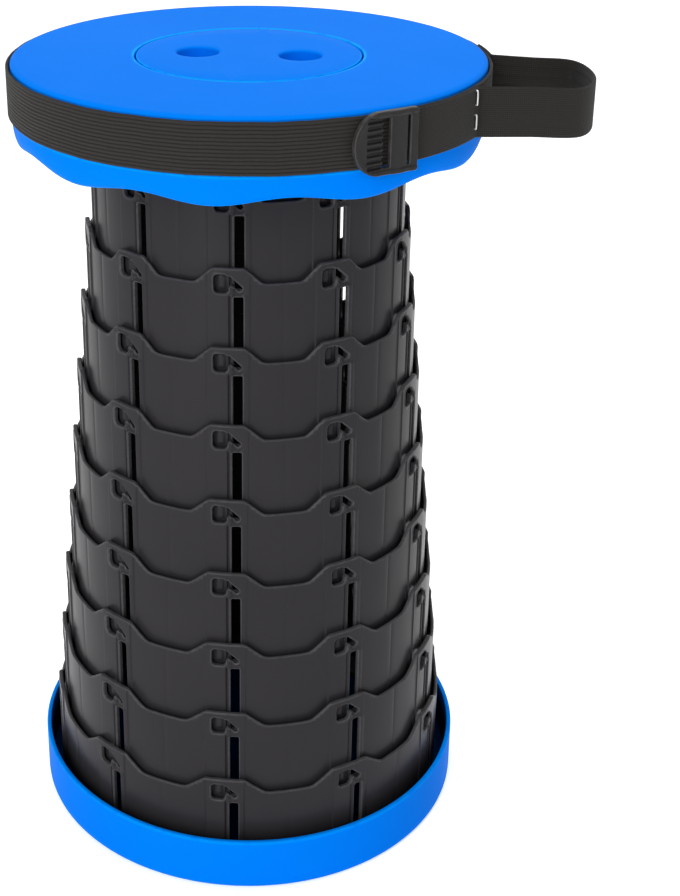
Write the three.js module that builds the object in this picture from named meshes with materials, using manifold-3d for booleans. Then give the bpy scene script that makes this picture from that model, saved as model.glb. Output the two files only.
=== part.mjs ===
// Telescopic camp stool, standing open: a round seat on ten nested rings that rise out of a base tray,
// with a webbing strap, buckle and handle loop round the seat. Millimetres, +Z up. The origin is the
// centre of the tray's flat underside. Angles run from -Y towards +X, as LatheGeometry's own angle does
// once its axis is turned to Z. Each ring carries one lug, one lock window and one crown per column.
import * as THREE from "three";
import { mergeVertices } from "three/addons/utils/BufferGeometryUtils.js";
import Module from "manifold-3d";

const wasm = await Module();
wasm.setup();

// ---------------------------------------------------------------- clearances
const REST_GAP = 0.3; // between fixed pieces that touch on the real object
const SLIDE_GAP = 0.4; // between a lug and the wall that slides past it
const THROUGH = 1; // how far a cutter reaches past the wall that it cuts

// ---------------------------------------------------------------- round pieces
const ROUND_STEPS = 40; // facets of every large round piece
const SMALL_STEPS = 8; // facets of screws and their holes
const HOLE_STEPS = 16; // facets of finger wells and foot pads

// ---------------------------------------------------------------- rings
const RING_COUNT = 10;
const COLUMN_COUNT = 10; // crowns, windows and lugs round each ring
const COLUMN_TURN = 2; // degrees that the columns stand past -Y
const RING_WALL = 1.9;
const RING_SPACE = 1.93; // free space between one ring and the next, on the radius
const RING_01_RADIUS = 80.1; // outside radius of the smallest ring
const RING_HEIGHT = 57; // crown top to lower edge
const RING_RISE = 41.1; // from one crown top to the next when open
const FOLD_ROOM = 5.3; // free height under the rings when they are folded into the tray
const CROWN_FLAT_ANGLE = 10.7; // degrees, the flat top of a crown
const CROWN_FOOT_ANGLE = 22.7; // degrees, where its slopes end
const CROWN_DEPTH = 8.5; // crown top down to the valley between crowns

// ---------------------------------------------------------------- lock windows and lugs
const SOCKET_OFFSET = -3.5; // socket centre, sideways from the crown's centre
const SOCKET_WIDTH = 7.4;
const SOCKET_HEIGHT = 10.2;
const SOCKET_DEPTH = 8.3; // socket centre below the crown top
const SOCKET_CHAMFER = 1.6;
const SLOT_OFFSET = 4.9; // slot centre, sideways from the crown's centre
const SLOT_FOOT = 3.4; // wall left under the slot
const RAMP_DROP = 6; // how far the passage falls from the socket to the slot
const LUG_WIDTH = 3.8;
const LUG_HEIGHT = 7.6;
const LUG_PLAY = 0.3; // free space each side of a lug in its slot
const LUG_ROOT = 0.6; // how far a lug is let into its own ring

// ---------------------------------------------------------------- base tray
const TRAY_HEIGHT = 31.4;
const TRAY_SPACE = 6.6; // between the largest ring and the tray's wall
const TRAY_WALL = 2.6;
const TRAY_FLOOR = 3.5;
const TRAY_FOOT_CHAMFER = 3;
const TRAY_RIM_ROUND = 0.8;

// ---------------------------------------------------------------- seat
const SEAT_OVERHANG = 0.2; // how much wider the seat is than the tray that it closes on
const SEAT_HEADROOM = 0.8; // seat plate above the level of the smallest ring's crown
const SEAT_PLATE = 3.5;
const SEAT_WALL = 2.6;
const SEAT_EDGE_ROUND = 5.5;
const SEAT_WALL_HEIGHT = 27.6; // straight wall, from the seat's top down to where the skirt rounds in
const SKIRT_HEIGHT = 13.8; // from there down to the mean level of the scalloped edge
const SKIRT_TUCK = 4.5; // how far the lower edge draws in
const SKIRT_STEPS = 3; // facets of the skirt's curve outside
const SCALLOP = 2; // half the height of the scallops
const CAP_LEDGE = 14; // recess floor under the cap's edge, which the screws pass
const RECESS_DEPTH = 5.5;
const RECESS_FLOOR = 2.5;
const FINGER_HOLE_RADIUS = 11;
const FINGER_HOLE_OFFSET = 27; // hole centres, each way from the middle of the seat
const FINGER_HOLE_DEPTH = 9.6;
const CAP_PLATE = 3;
const CAP_RIM_WALL = 2.4;
const WELL_WALL = 1.7;
const WELL_SPACE = 5.3; // between the finger wells and the opening in the recess floor

// ---------------------------------------------------------------- flanges, screws and feet
const FLANGE = 3;
const SCREW_COUNT = 6;
const SCREW_START_ANGLE = 30;
const SCREW_HEAD_RADIUS = 3.1;
const SCREW_HEAD = 1.6;
const SCREW_RADIUS = 1.4;
const SCREW_TIP = 1; // length of the pointed end
const SEAT_SCREW_INSET = 7.8; // in from the cap's edge
const BASE_SCREW_INSET = 9.2; // in from the largest ring's inner wall
const BASE_FLANGE_REACH = 15; // how far the largest ring's flange reaches in from its wall
const FOOT_COUNT = 6;
const FOOT_START_ANGLE = 0; // so that the feet stand between the base screws
const FOOT_RADIUS = 9;
const FOOT_HEIGHT = 1.5;
const FOOT_INSET = 18.8; // pad centres, in from the tray's wall

// ---------------------------------------------------------------- strap, buckle and handle
const STRAP_WIDTH = 25.5;
const STRAP_THICKNESS = 1.6;
const STRAP_SET_DOWN = 1.8; // below the seat's top
const HANDLE_START_ANGLE = 46.5; // degrees, under the buckle's end bar
const HANDLE_ROOT_ANGLE = 69.6; // where the front leg leaves the rim
const HANDLE_RETURN_ANGLE = 101; // where the back leg meets the rim again
const HANDLE_END_ANGLE = 112;
const HANDLE_LENGTH = 54; // how far the loop reaches out from the rim
const HANDLE_FRONT_ANGLE = 82; // where the front leg turns into the round end
const HANDLE_BACK_ANGLE = 101; // where the round end turns into the back leg
const HANDLE_FRONT_ROUND = 6; // how far inside the reach the front shoulder lies
const HANDLE_BACK_ROUND = 8; // how far inside the reach the back shoulder lies
const HANDLE_TIP_DROP = 4; // the loop hangs this much below the band at its outer end
const HANDLE_RIM_STEP = 3; // degrees a facet, where the webbing lies on the band
const HANDLE_STEPS = 28; // facets round the loop
const BUCKLE_ANGLE = 38;
const BUCKLE_LENGTH = 35;
const BUCKLE_THICKNESS = 3.4;
const BUCKLE_BAR = 4.5; // bar that the webbing wraps
const BUCKLE_TOOTH_BAR = 6.5; // middle bar with the teeth
const BUCKLE_WINDOW = 4.2; // each window along the strap
const BUCKLE_SIDE = 2.2; // side rails beside the windows
const BUCKLE_PLAY = 1.05; // between the webbing's edge and a side rail
const BUCKLE_CORNER = 2.5;
const GRIP_STEPS = 8; // facets of the buckle's round grip
const STAPLE_LENGTH = 8;
const STAPLE_WIRE = 1.3;
const STAPLE_SPACING = 12; // between the two staples' centres
const STAPLE_LIFT = 2; // of their middle above the webbing's middle
const STAPLE_LEAD = 1.5; // degrees before the root, so that the staples lie on the rim

// ---------------------------------------------------------------- sizes that follow
const ringRadius = (number) => RING_01_RADIUS + (number - 1) * (RING_WALL + RING_SPACE);
const crownZ = (number) => TRAY_FLOOR + FOLD_ROOM + RING_HEIGHT + (RING_COUNT - number) * RING_RISE;
const SLOT_WIDTH = LUG_WIDTH + 2 * LUG_PLAY;
const TRAY_RADIUS = ringRadius(RING_COUNT) + TRAY_SPACE + TRAY_WALL;
const BASE_RING_INNER_RADIUS = ringRadius(RING_COUNT) - RING_WALL;
const BASE_SCREW_CIRCLE = BASE_RING_INNER_RADIUS - BASE_SCREW_INSET;
const FOOT_CIRCLE = TRAY_RADIUS - FOOT_INSET;
const SEAT_RADIUS = TRAY_RADIUS + SEAT_OVERHANG;
const SEAT_TOP_Z = crownZ(1) + SEAT_HEADROOM + SEAT_PLATE;
const SKIRT_START_Z = SEAT_TOP_Z - SEAT_WALL_HEIGHT;
const SKIRT_END_Z = SKIRT_START_Z - SKIRT_HEIGHT;
const RECESS_OPENING_RADIUS = FINGER_HOLE_OFFSET + FINGER_HOLE_RADIUS + WELL_WALL + WELL_SPACE;
const CAP_RADIUS = RECESS_OPENING_RADIUS + CAP_LEDGE;
const SEAT_SCREW_CIRCLE = CAP_RADIUS - SEAT_SCREW_INSET;
const STRAP_TOP_Z = SEAT_TOP_Z - STRAP_SET_DOWN;
const HANDLE_REACH = SEAT_RADIUS + HANDLE_LENGTH;
const BUCKLE_HEIGHT = STRAP_WIDTH + 2 * (BUCKLE_PLAY + BUCKLE_SIDE);
const STRAP_INNER_RADIUS = SEAT_RADIUS + REST_GAP;
const STRAP_OUTER_RADIUS = STRAP_INNER_RADIUS + STRAP_THICKNESS;
const HANDLE_RADIUS = STRAP_OUTER_RADIUS + REST_GAP + STRAP_THICKNESS / 2; // middle of the second layer
const STRAP_BOTTOM_Z = STRAP_TOP_Z - STRAP_WIDTH;
const PLATE_UNDERSIDE_Z = SEAT_TOP_Z - SEAT_PLATE;
const RECESS_FLOOR_Z = SEAT_TOP_Z - RECESS_DEPTH;
const CAP_OPENING_RADIUS = CAP_RADIUS + REST_GAP;
const SCREW_HOLE_RADIUS = SCREW_RADIUS + REST_GAP;

// ---------------------------------------------------------------- geometry helpers
const radians = THREE.MathUtils.degToRad;

/** A point at a radius, an angle from -Y towards +X, and a height. */
function polar(radius, degrees, z = 0) {
  const angle = radians(degrees);
  return new THREE.Vector3(radius * Math.sin(angle), -radius * Math.cos(angle), z);
}

/** A body of revolution about Z from an outline of [radius, z] points, which runs anticlockwise. */
function turned(outline, steps = ROUND_STEPS) {
  const points = outline.map(([radius, z]) => new THREE.Vector2(radius, z));
  if (outline[0][0] > 0) points.push(points[0].clone());
  return new THREE.LatheGeometry(points, steps).rotateX(Math.PI / 2);
}

/** A cylinder standing on Z, from a low to a high z. */
function upright(radius, lowZ, highZ, steps) {
  return turned([[0, lowZ], [radius, lowZ], [radius, highZ], [0, highZ]], steps);
}

/** A flat outline of [x, y] points as a prism: the outline's y becomes Z, and its depth runs along -Y. */
function prism(outline, depth) {
  const shape = new THREE.Shape(outline.map(([x, y]) => new THREE.Vector2(x, y)));
  return new THREE.ExtrudeGeometry(shape, { depth, bevelEnabled: false }).rotateX(Math.PI / 2);
}

/** A closed geometry as a solid for cutting and joining. */
function solid(geometry) {
  const bare = geometry.clone();
  bare.deleteAttribute("normal");
  bare.deleteAttribute("uv");
  const merged = mergeVertices(bare, 1e-3);
  return new wasm.Manifold(new wasm.Mesh({
    numProp: 3,
    vertProperties: merged.attributes.position.array,
    triVerts: new Uint32Array(merged.index.array),
  }));
}

/** A solid back as a three.js geometry. */
function geometryOf(made) {
  const { vertProperties, triVerts } = made.getMesh();
  const geometry = new THREE.BufferGeometry();
  geometry.setAttribute("position", new THREE.BufferAttribute(new Float32Array(vertProperties), 3));
  geometry.setIndex(new THREE.BufferAttribute(new Uint32Array(triVerts), 1));
  return geometry;
}

/** One geometry with others joined to it and then others cut from it. */
function shaped(body, joined, cut) {
  const whole = joined.reduce((made, extra) => made.add(solid(extra)), solid(body));
  return geometryOf(cut.reduce((made, tool) => made.subtract(solid(tool)), whole));
}

/** Copies of a geometry turned about Z to evenly spaced angles. */
function around(geometry, count, startDegrees = 0) {
  return Array.from({ length: count }, (_, i) =>
    geometry.clone().rotateZ(radians(startDegrees + (360 * i) / count)));
}

/** Evenly spaced places on a circle, as vectors. */
function circle(count, radius, startDegrees, z = 0) {
  return Array.from({ length: count }, (_, i) => polar(radius, startDegrees + (360 * i) / count, z));
}

// ---------------------------------------------------------------- materials and nodes
const stool = new THREE.Group();

const FINISHES = {
  bluePlastic: { color: 0x0a7df0, roughness: 0.38, metalness: 0 },
  blackPlastic: { color: 0x1b1a1d, roughness: 0.28, metalness: 0 },
  webbing: { color: 0x1d1c1b, roughness: 0.9, metalness: 0 },
  bucklePlastic: { color: 0x1c1c1e, roughness: 0.45, metalness: 0 },
  footRubber: { color: 0x242424, roughness: 0.95, metalness: 0 },
  zincSteel: { color: 0xb9bcc0, roughness: 0.35, metalness: 1 },
};

/** Adds one named piece to the stool, with a material of its own. */
function addPiece(name, geometry, finish, group = stool) {
  const mesh = new THREE.Mesh(geometry, new THREE.MeshStandardMaterial(finish));
  mesh.name = name;
  group.add(mesh);
  return mesh;
}

// ---------------------------------------------------------------- rings

/** The tool that cuts one valley between two crowns, pointing along -Y, for a ring of this radius. */
function valleyTool(radius, topZ) {
  const columnAngle = 360 / COLUMN_COUNT;
  const acrossAngle = (degrees) => radius * Math.sin(radians(degrees / 2));
  const floor = acrossAngle(columnAngle - CROWN_FOOT_ANGLE);
  const mouth = acrossAngle(columnAngle - CROWN_FLAT_ANGLE);
  const slope = (mouth - floor) / CROWN_DEPTH;
  const outline = [
    [-floor, topZ - CROWN_DEPTH],
    [floor, topZ - CROWN_DEPTH],
    [mouth + slope * THROUGH, topZ + THROUGH],
    [-mouth - slope * THROUGH, topZ + THROUGH],
  ];
  const depth = RING_WALL + radius * (1 - Math.cos(radians(columnAngle))) + 2 * THROUGH;
  return prism(outline, depth).translate(0, depth - radius - THROUGH, 0);
}

/** The tool that cuts one lock window: socket, ramp and slot in one opening, pointing along -Y. */
function windowTool(radius, topZ, height) {
  const left = SOCKET_OFFSET - SOCKET_WIDTH / 2;
  const right = SOCKET_OFFSET + SOCKET_WIDTH / 2;
  const top = topZ - SOCKET_DEPTH + SOCKET_HEIGHT / 2;
  const bottom = topZ - SOCKET_DEPTH - SOCKET_HEIGHT / 2;
  const slotLeft = SLOT_OFFSET - SLOT_WIDTH / 2;
  const slotRight = SLOT_OFFSET + SLOT_WIDTH / 2;
  const slotEnd = topZ - height + SLOT_FOOT;
  const outline = [
    [slotLeft, slotEnd],
    [slotRight, slotEnd],
    [slotRight, top - RAMP_DROP - SOCKET_CHAMFER],
    [right - SOCKET_CHAMFER, top],
    [left + SOCKET_CHAMFER, top],
    [left, top - SOCKET_CHAMFER],
    [left, bottom + 2 * SOCKET_CHAMFER],
    [SOCKET_OFFSET, bottom],
    [slotLeft, bottom - SOCKET_CHAMFER],
  ];
  const depth = RING_WALL + radius * (1 - Math.cos(radians(360 / ROUND_STEPS))) + 2 * THROUGH;
  return prism(outline, depth).translate(0, depth - radius - THROUGH, 0);
}

/** The lug that stands out of a ring into the socket of the next one, pointing along -Y. */
function lug(radius, topZ) {
  const centreZ = topZ - RING_RISE - SOCKET_DEPTH;
  const root = radius * Math.cos(radians(180 / ROUND_STEPS)) - LUG_ROOT;
  const face = (radius + RING_SPACE) * Math.cos(radians(180 / ROUND_STEPS)) - SLIDE_GAP;
  const length = face - root;
  return new THREE.BoxGeometry(LUG_WIDTH, length, LUG_HEIGHT)
    .translate(SOCKET_OFFSET, -root - length / 2, centreZ);
}

/** One ring: a thin wall, its crowns, its lock windows and its lugs. */
function ringGeometry(number) {
  const radius = ringRadius(number);
  const topZ = crownZ(number);
  const isSeatRing = number === 1;
  const isBaseRing = number === RING_COUNT;
  const lowZ = isBaseRing ? TRAY_FLOOR + REST_GAP : topZ - RING_HEIGHT;
  const highZ = isSeatRing ? PLATE_UNDERSIDE_Z - REST_GAP : topZ;
  const inner = radius - RING_WALL;
  const outline = [[inner, lowZ], [radius, lowZ], [radius, highZ], [inner, highZ]];
  const flangeTopZ = isBaseRing ? lowZ + FLANGE : RECESS_FLOOR_Z - RECESS_FLOOR - REST_GAP;
  if (isSeatRing) {
    outline.push([inner, flangeTopZ], [RECESS_OPENING_RADIUS, flangeTopZ]);
    outline.push([RECESS_OPENING_RADIUS, flangeTopZ - FLANGE], [inner, flangeTopZ - FLANGE]);
  }
  if (isBaseRing) {
    outline[0] = [inner - BASE_FLANGE_REACH, lowZ];
    outline.push([inner, flangeTopZ], [inner - BASE_FLANGE_REACH, flangeTopZ]);
  }
  const tools = around(windowTool(radius, topZ, RING_HEIGHT), COLUMN_COUNT, COLUMN_TURN);
  const valleyStart = COLUMN_TURN + 180 / COLUMN_COUNT;
  if (!isSeatRing) tools.push(...around(valleyTool(radius, topZ), COLUMN_COUNT, valleyStart));
  if (isSeatRing || isBaseRing) {
    const screwCircle = isSeatRing ? SEAT_SCREW_CIRCLE : BASE_SCREW_CIRCLE;
    const hole = upright(SCREW_HOLE_RADIUS, flangeTopZ - FLANGE - THROUGH, flangeTopZ + THROUGH, SMALL_STEPS);
    for (const place of circle(SCREW_COUNT, screwCircle, SCREW_START_ANGLE)) {
      tools.push(hole.clone().translate(place.x, place.y, 0));
    }
  }
  const lugs = isBaseRing ? [] : around(lug(radius, topZ), COLUMN_COUNT, COLUMN_TURN);
  return shaped(turned(outline), lugs, tools);
}

for (let number = 1; number <= RING_COUNT; number += 1) {
  addPiece(`ring_${String(number).padStart(2, "0")}`, ringGeometry(number), FINISHES.blackPlastic);
}

// ---------------------------------------------------------------- base tray and feet
const trayOutline = [
  [0, 0],
  [TRAY_RADIUS - TRAY_FOOT_CHAMFER, 0],
  [TRAY_RADIUS, TRAY_FOOT_CHAMFER],
  [TRAY_RADIUS, TRAY_HEIGHT - TRAY_RIM_ROUND],
  [TRAY_RADIUS - TRAY_RIM_ROUND, TRAY_HEIGHT],
  [TRAY_RADIUS - TRAY_WALL + TRAY_RIM_ROUND, TRAY_HEIGHT],
  [TRAY_RADIUS - TRAY_WALL, TRAY_HEIGHT - TRAY_RIM_ROUND],
  [TRAY_RADIUS - TRAY_WALL, TRAY_FLOOR],
  [0, TRAY_FLOOR],
];
const trayTools = [];
const headPocket = upright(SCREW_HEAD_RADIUS + REST_GAP, -THROUGH, SCREW_HEAD + 2 * REST_GAP, SMALL_STEPS);
const floorHole = upright(SCREW_HOLE_RADIUS, -THROUGH, TRAY_FLOOR + THROUGH, SMALL_STEPS);
for (const place of circle(SCREW_COUNT, BASE_SCREW_CIRCLE, SCREW_START_ANGLE)) {
  trayTools.push(headPocket.clone().translate(place.x, place.y, 0));
  trayTools.push(floorHole.clone().translate(place.x, place.y, 0));
}
const footPocket = upright(FOOT_RADIUS + REST_GAP, -THROUGH, FOOT_HEIGHT + REST_GAP, HOLE_STEPS);
for (const place of circle(FOOT_COUNT, FOOT_CIRCLE, FOOT_START_ANGLE)) {
  trayTools.push(footPocket.clone().translate(place.x, place.y, 0));
}
addPiece("base_tray", shaped(turned(trayOutline), [], trayTools), FINISHES.bluePlastic);

circle(FOOT_COUNT, FOOT_CIRCLE, FOOT_START_ANGLE).forEach((place, i) => {
  const pad = upright(FOOT_RADIUS, 0, FOOT_HEIGHT, HOLE_STEPS);
  addPiece(`foot_pad_${i + 1}`, pad, FINISHES.footRubber).position.copy(place);
});

// ---------------------------------------------------------------- screws
/** A pan-head screw pointing up from its head's flat face at z = 0. */
function screwGeometry(shank) {
  return turned([
    [0, 0],
    [SCREW_HEAD_RADIUS, 0],
    [SCREW_HEAD_RADIUS, SCREW_HEAD],
    [SCREW_RADIUS, SCREW_HEAD],
    [SCREW_RADIUS, SCREW_HEAD + shank - SCREW_TIP],
    [0, SCREW_HEAD + shank],
  ], SMALL_STEPS);
}

const baseShank = TRAY_FLOOR - SCREW_HEAD - REST_GAP + FLANGE + REST_GAP + SCREW_TIP;
circle(SCREW_COUNT, BASE_SCREW_CIRCLE, SCREW_START_ANGLE, REST_GAP).forEach((place, i) => {
  addPiece(`base_screw_${i + 1}`, screwGeometry(baseShank), FINISHES.zincSteel).position.copy(place);
});

const seatShank = REST_GAP + RECESS_FLOOR + REST_GAP + FLANGE + SCREW_TIP;
const seatHeadTopZ = RECESS_FLOOR_Z + REST_GAP + SCREW_HEAD;
circle(SCREW_COUNT, SEAT_SCREW_CIRCLE, SCREW_START_ANGLE, seatHeadTopZ).forEach((place, i) => {
  const screw = addPiece(`seat_screw_${i + 1}`, screwGeometry(seatShank), FINISHES.zincSteel);
  screw.position.copy(place);
  screw.rotation.x = Math.PI;
});

// ---------------------------------------------------------------- seat shell
/** The seat shell's outline: plate, rounded edge, wall, tucked skirt and the recess for the cap. */
function seatOutline() {
  const inside = SEAT_RADIUS - SEAT_WALL;
  const round = (degrees) => [
    SEAT_RADIUS - SEAT_EDGE_ROUND * (1 - Math.cos(radians(degrees))),
    SEAT_TOP_Z - (SEAT_EDGE_ROUND / 2) * (1 - Math.sin(radians(degrees))),
  ];
  const skirt = (share, radius) => [
    radius - SKIRT_TUCK * (1 - Math.cos(radians(90 * share))),
    SKIRT_START_Z - (SKIRT_START_Z - SKIRT_END_Z) * Math.sin(radians(90 * share)),
  ];
  const skirtShares = Array.from({ length: SKIRT_STEPS + 1 }, (_, i) => 1 - i / SKIRT_STEPS);
  return [
    [RECESS_OPENING_RADIUS, RECESS_FLOOR_Z - RECESS_FLOOR],
    [CAP_OPENING_RADIUS + SEAT_WALL, RECESS_FLOOR_Z - RECESS_FLOOR],
    [CAP_OPENING_RADIUS + SEAT_WALL, PLATE_UNDERSIDE_Z],
    [inside - SEAT_EDGE_ROUND / 2, PLATE_UNDERSIDE_Z],
    [inside, PLATE_UNDERSIDE_Z - SEAT_EDGE_ROUND / 2],
    skirt(0, inside),
    skirt(1 / 2, inside),
    skirt(1, inside),
    ...skirtShares.map((share) => skirt(share, SEAT_RADIUS)),
    round(0),
    round(45),
    round(90),
    [CAP_OPENING_RADIUS, SEAT_TOP_Z],
    [CAP_OPENING_RADIUS, RECESS_FLOOR_Z],
    [RECESS_OPENING_RADIUS, RECESS_FLOOR_Z],
  ];
}

/** Bends the skirt's lower edge into scallops, lowest in line with the lugs. */
function scallop(geometry) {
  const position = geometry.getAttribute("position");
  for (let i = 0; i < position.count; i += 1) {
    const share = (SKIRT_START_Z - position.getZ(i)) / (SKIRT_START_Z - SKIRT_END_Z);
    const angle = Math.atan2(position.getX(i), -position.getY(i));
    const drop = SCALLOP * Math.cos(COLUMN_COUNT * angle) * Math.max(0, share);
    position.setZ(i, position.getZ(i) - drop);
  }
  return geometry;
}

const seatTools = circle(SCREW_COUNT, SEAT_SCREW_CIRCLE, SCREW_START_ANGLE).map((place) => {
  const low = RECESS_FLOOR_Z - RECESS_FLOOR - THROUGH;
  const hole = upright(SCREW_HOLE_RADIUS, low, RECESS_FLOOR_Z + THROUGH, SMALL_STEPS);
  return hole.translate(place.x, place.y, 0);
});
addPiece("seat_shell", shaped(scallop(turned(seatOutline())), [], seatTools), FINISHES.bluePlastic);

// ---------------------------------------------------------------- centre cap
const capRimLowZ = RECESS_FLOOR_Z + REST_GAP;
const capUndersideZ = SEAT_TOP_Z - CAP_PLATE;
const capOutline = [
  [0, capUndersideZ],
  [CAP_RADIUS - CAP_RIM_WALL, capUndersideZ],
  [CAP_RADIUS - CAP_RIM_WALL, capRimLowZ],
  [CAP_RADIUS, capRimLowZ],
  [CAP_RADIUS, SEAT_TOP_Z],
  [0, SEAT_TOP_Z],
];
const wellFloorZ = SEAT_TOP_Z - FINGER_HOLE_DEPTH;
const wellTopZ = SEAT_TOP_Z - CAP_PLATE / 2; // let into the plate, so that the two join
const wells = [];
const fingerHoles = [];
for (const side of [-1, 1]) {
  const well = upright(FINGER_HOLE_RADIUS + WELL_WALL, wellFloorZ - WELL_WALL, wellTopZ, HOLE_STEPS);
  const hole = upright(FINGER_HOLE_RADIUS, wellFloorZ, SEAT_TOP_Z + THROUGH, HOLE_STEPS);
  wells.push(well.translate(side * FINGER_HOLE_OFFSET, 0, 0));
  fingerHoles.push(hole.translate(side * FINGER_HOLE_OFFSET, 0, 0));
}
addPiece("centre_cap", shaped(turned(capOutline), wells, fingerHoles), FINISHES.bluePlastic);

// ---------------------------------------------------------------- strap band and handle
addPiece("strap_band", turned([
  [STRAP_INNER_RADIUS, STRAP_BOTTOM_Z],
  [STRAP_OUTER_RADIUS, STRAP_BOTTOM_Z],
  [STRAP_OUTER_RADIUS, STRAP_TOP_Z],
  [STRAP_INNER_RADIUS, STRAP_TOP_Z],
]), FINISHES.webbing);

/** The middle line of the handle webbing seen from above: along the rim, round the loop and back. */
function handlePath() {
  const rim = (from, to) => {
    const steps = Math.ceil((to - from) / HANDLE_RIM_STEP);
    const stepAngle = (to - from) / steps;
    return Array.from({ length: steps + 1 }, (_, i) => polar(HANDLE_RADIUS, from + stepAngle * i));
  };
  const onBand = rim(HANDLE_START_ANGLE, HANDLE_ROOT_ANGLE);
  const backOnBand = rim(HANDLE_RETURN_ANGLE, HANDLE_END_ANGLE);
  const root = onBand.pop();
  const back = backOnBand.shift();
  const frontShoulder = polar(HANDLE_REACH - HANDLE_FRONT_ROUND, HANDLE_FRONT_ANGLE);
  const backShoulder = polar(HANDLE_REACH - HANDLE_BACK_ROUND, HANDLE_BACK_ANGLE);
  const tip = polar(HANDLE_REACH - STRAP_THICKNESS / 2, (HANDLE_FRONT_ANGLE + HANDLE_BACK_ANGLE) / 2);
  const loop = new THREE.CatmullRomCurve3([
    root,
    root.clone().lerp(frontShoulder, 0.5),
    frontShoulder,
    tip,
    backShoulder,
    backShoulder.clone().lerp(back, 0.5),
    back,
  ], false, "centripetal");
  return [...onBand, ...loop.getSpacedPoints(HANDLE_STEPS), ...backOnBand];
}

/** Webbing on edge along a plan path: it hangs lower the further it is from the rim. */
function handleGeometry() {
  const path = handlePath();
  const outer = [];
  const inner = [];
  path.forEach((point, i) => {
    const before = path[Math.max(i - 1, 0)];
    const after = path[Math.min(i + 1, path.length - 1)];
    const arriving = point.clone().sub(i > 0 ? before : after).multiplyScalar(i > 0 ? 1 : -1).normalize();
    const leaving = after.clone().sub(i < path.length - 1 ? point : before).normalize();
    const along = arriving.clone().add(leaving).normalize();
    const mitre = STRAP_THICKNESS / 2 / along.dot(arriving);
    const side = new THREE.Vector2(along.y, -along.x).multiplyScalar(mitre);
    outer.push(new THREE.Vector2(point.x + side.x, point.y + side.y));
    inner.unshift(new THREE.Vector2(point.x - side.x, point.y - side.y));
  });
  const shape = new THREE.Shape([...outer, ...inner]);
  const geometry = new THREE.ExtrudeGeometry(shape, { depth: STRAP_WIDTH, bevelEnabled: false });
  geometry.translate(0, 0, STRAP_BOTTOM_Z);
  const position = geometry.getAttribute("position");
  for (let i = 0; i < position.count; i += 1) {
    const out = Math.hypot(position.getX(i), position.getY(i)) - HANDLE_RADIUS;
    const beyond = THREE.MathUtils.clamp(out / (HANDLE_REACH - HANDLE_RADIUS), 0, 1);
    position.setZ(i, position.getZ(i) - HANDLE_TIP_DROP * beyond);
  }
  return geometry;
}
addPiece("handle_strap", handleGeometry(), FINISHES.webbing);

// ---------------------------------------------------------------- buckle
/** Ladder-lock buckle, lying flat against -Y with its round grip at -X: a frame with two windows. */
function buckleGeometry() {
  const right = BUCKLE_LENGTH / 2;
  const half = BUCKLE_HEIGHT / 2;
  const squareStart = right - 2 * BUCKLE_WINDOW - BUCKLE_TOOTH_BAR - BUCKLE_BAR - BUCKLE_SIDE;
  const gripDepth = squareStart + BUCKLE_LENGTH / 2;
  const grip = Array.from({ length: GRIP_STEPS + 1 }, (_, i) => {
    const angle = radians(90 + (180 * i) / GRIP_STEPS);
    return [squareStart + gripDepth * Math.cos(angle), half * Math.sin(angle)];
  });
  const outline = [
    [right, -half + BUCKLE_CORNER],
    [right, half - BUCKLE_CORNER],
    [right - BUCKLE_CORNER, half],
    ...grip,
    [right - BUCKLE_CORNER, -half],
  ];
  const windowTop = half - BUCKLE_SIDE;
  const windows = [right - BUCKLE_BAR, right - BUCKLE_BAR - BUCKLE_WINDOW - BUCKLE_TOOTH_BAR].map((edge) =>
    prism([
      [edge - BUCKLE_WINDOW, -windowTop],
      [edge, -windowTop],
      [edge, windowTop],
      [edge - BUCKLE_WINDOW, windowTop],
    ], BUCKLE_THICKNESS + 2 * THROUGH).translate(0, THROUGH, 0));
  return shaped(prism(outline, BUCKLE_THICKNESS), [], windows);
}
const buckleFace = (HANDLE_RADIUS + STRAP_THICKNESS / 2 + REST_GAP)
  * Math.cos(radians(HANDLE_START_ANGLE - BUCKLE_ANGLE));
const buckleBack = Math.max(buckleFace, STRAP_OUTER_RADIUS + REST_GAP);
const buckle = addPiece("buckle", buckleGeometry(), FINISHES.bucklePlastic);
buckle.position.copy(polar(buckleBack, BUCKLE_ANGLE, (STRAP_TOP_Z + STRAP_BOTTOM_Z) / 2));
buckle.rotation.z = radians(BUCKLE_ANGLE);

// ---------------------------------------------------------------- staples
const stapleRadius = HANDLE_RADIUS + STRAP_THICKNESS / 2 + REST_GAP + STAPLE_WIRE / 2;
const stapleAngle = HANDLE_ROOT_ANGLE - STAPLE_LEAD;
const stapleMiddleZ = (STRAP_TOP_Z + STRAP_BOTTOM_Z) / 2 + STAPLE_LIFT;
for (const [name, side] of [["staple_upper", 1], ["staple_lower", -1]]) {
  const crown = new THREE.CapsuleGeometry(STAPLE_WIRE / 2, STAPLE_LENGTH - STAPLE_WIRE, 3, SMALL_STEPS);
  const staple = addPiece(name, crown.rotateX(Math.PI / 2), FINISHES.zincSteel);
  staple.position.copy(polar(stapleRadius, stapleAngle, stapleMiddleZ + (side * STAPLE_SPACING) / 2));
}

export default stool;
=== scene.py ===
"""Telescopic camp stool, standing open: its looks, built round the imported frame.

Sizes in the classes are millimetres, and every mesh is in metres in the frame's own axes. Angles run
from -Y towards +X, so that seen from outside a piece's s coordinate grows to the right.
"""

import logging
import math
from dataclasses import dataclass, field
from enum import Enum
from typing import Callable, Sequence, Union

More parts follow.
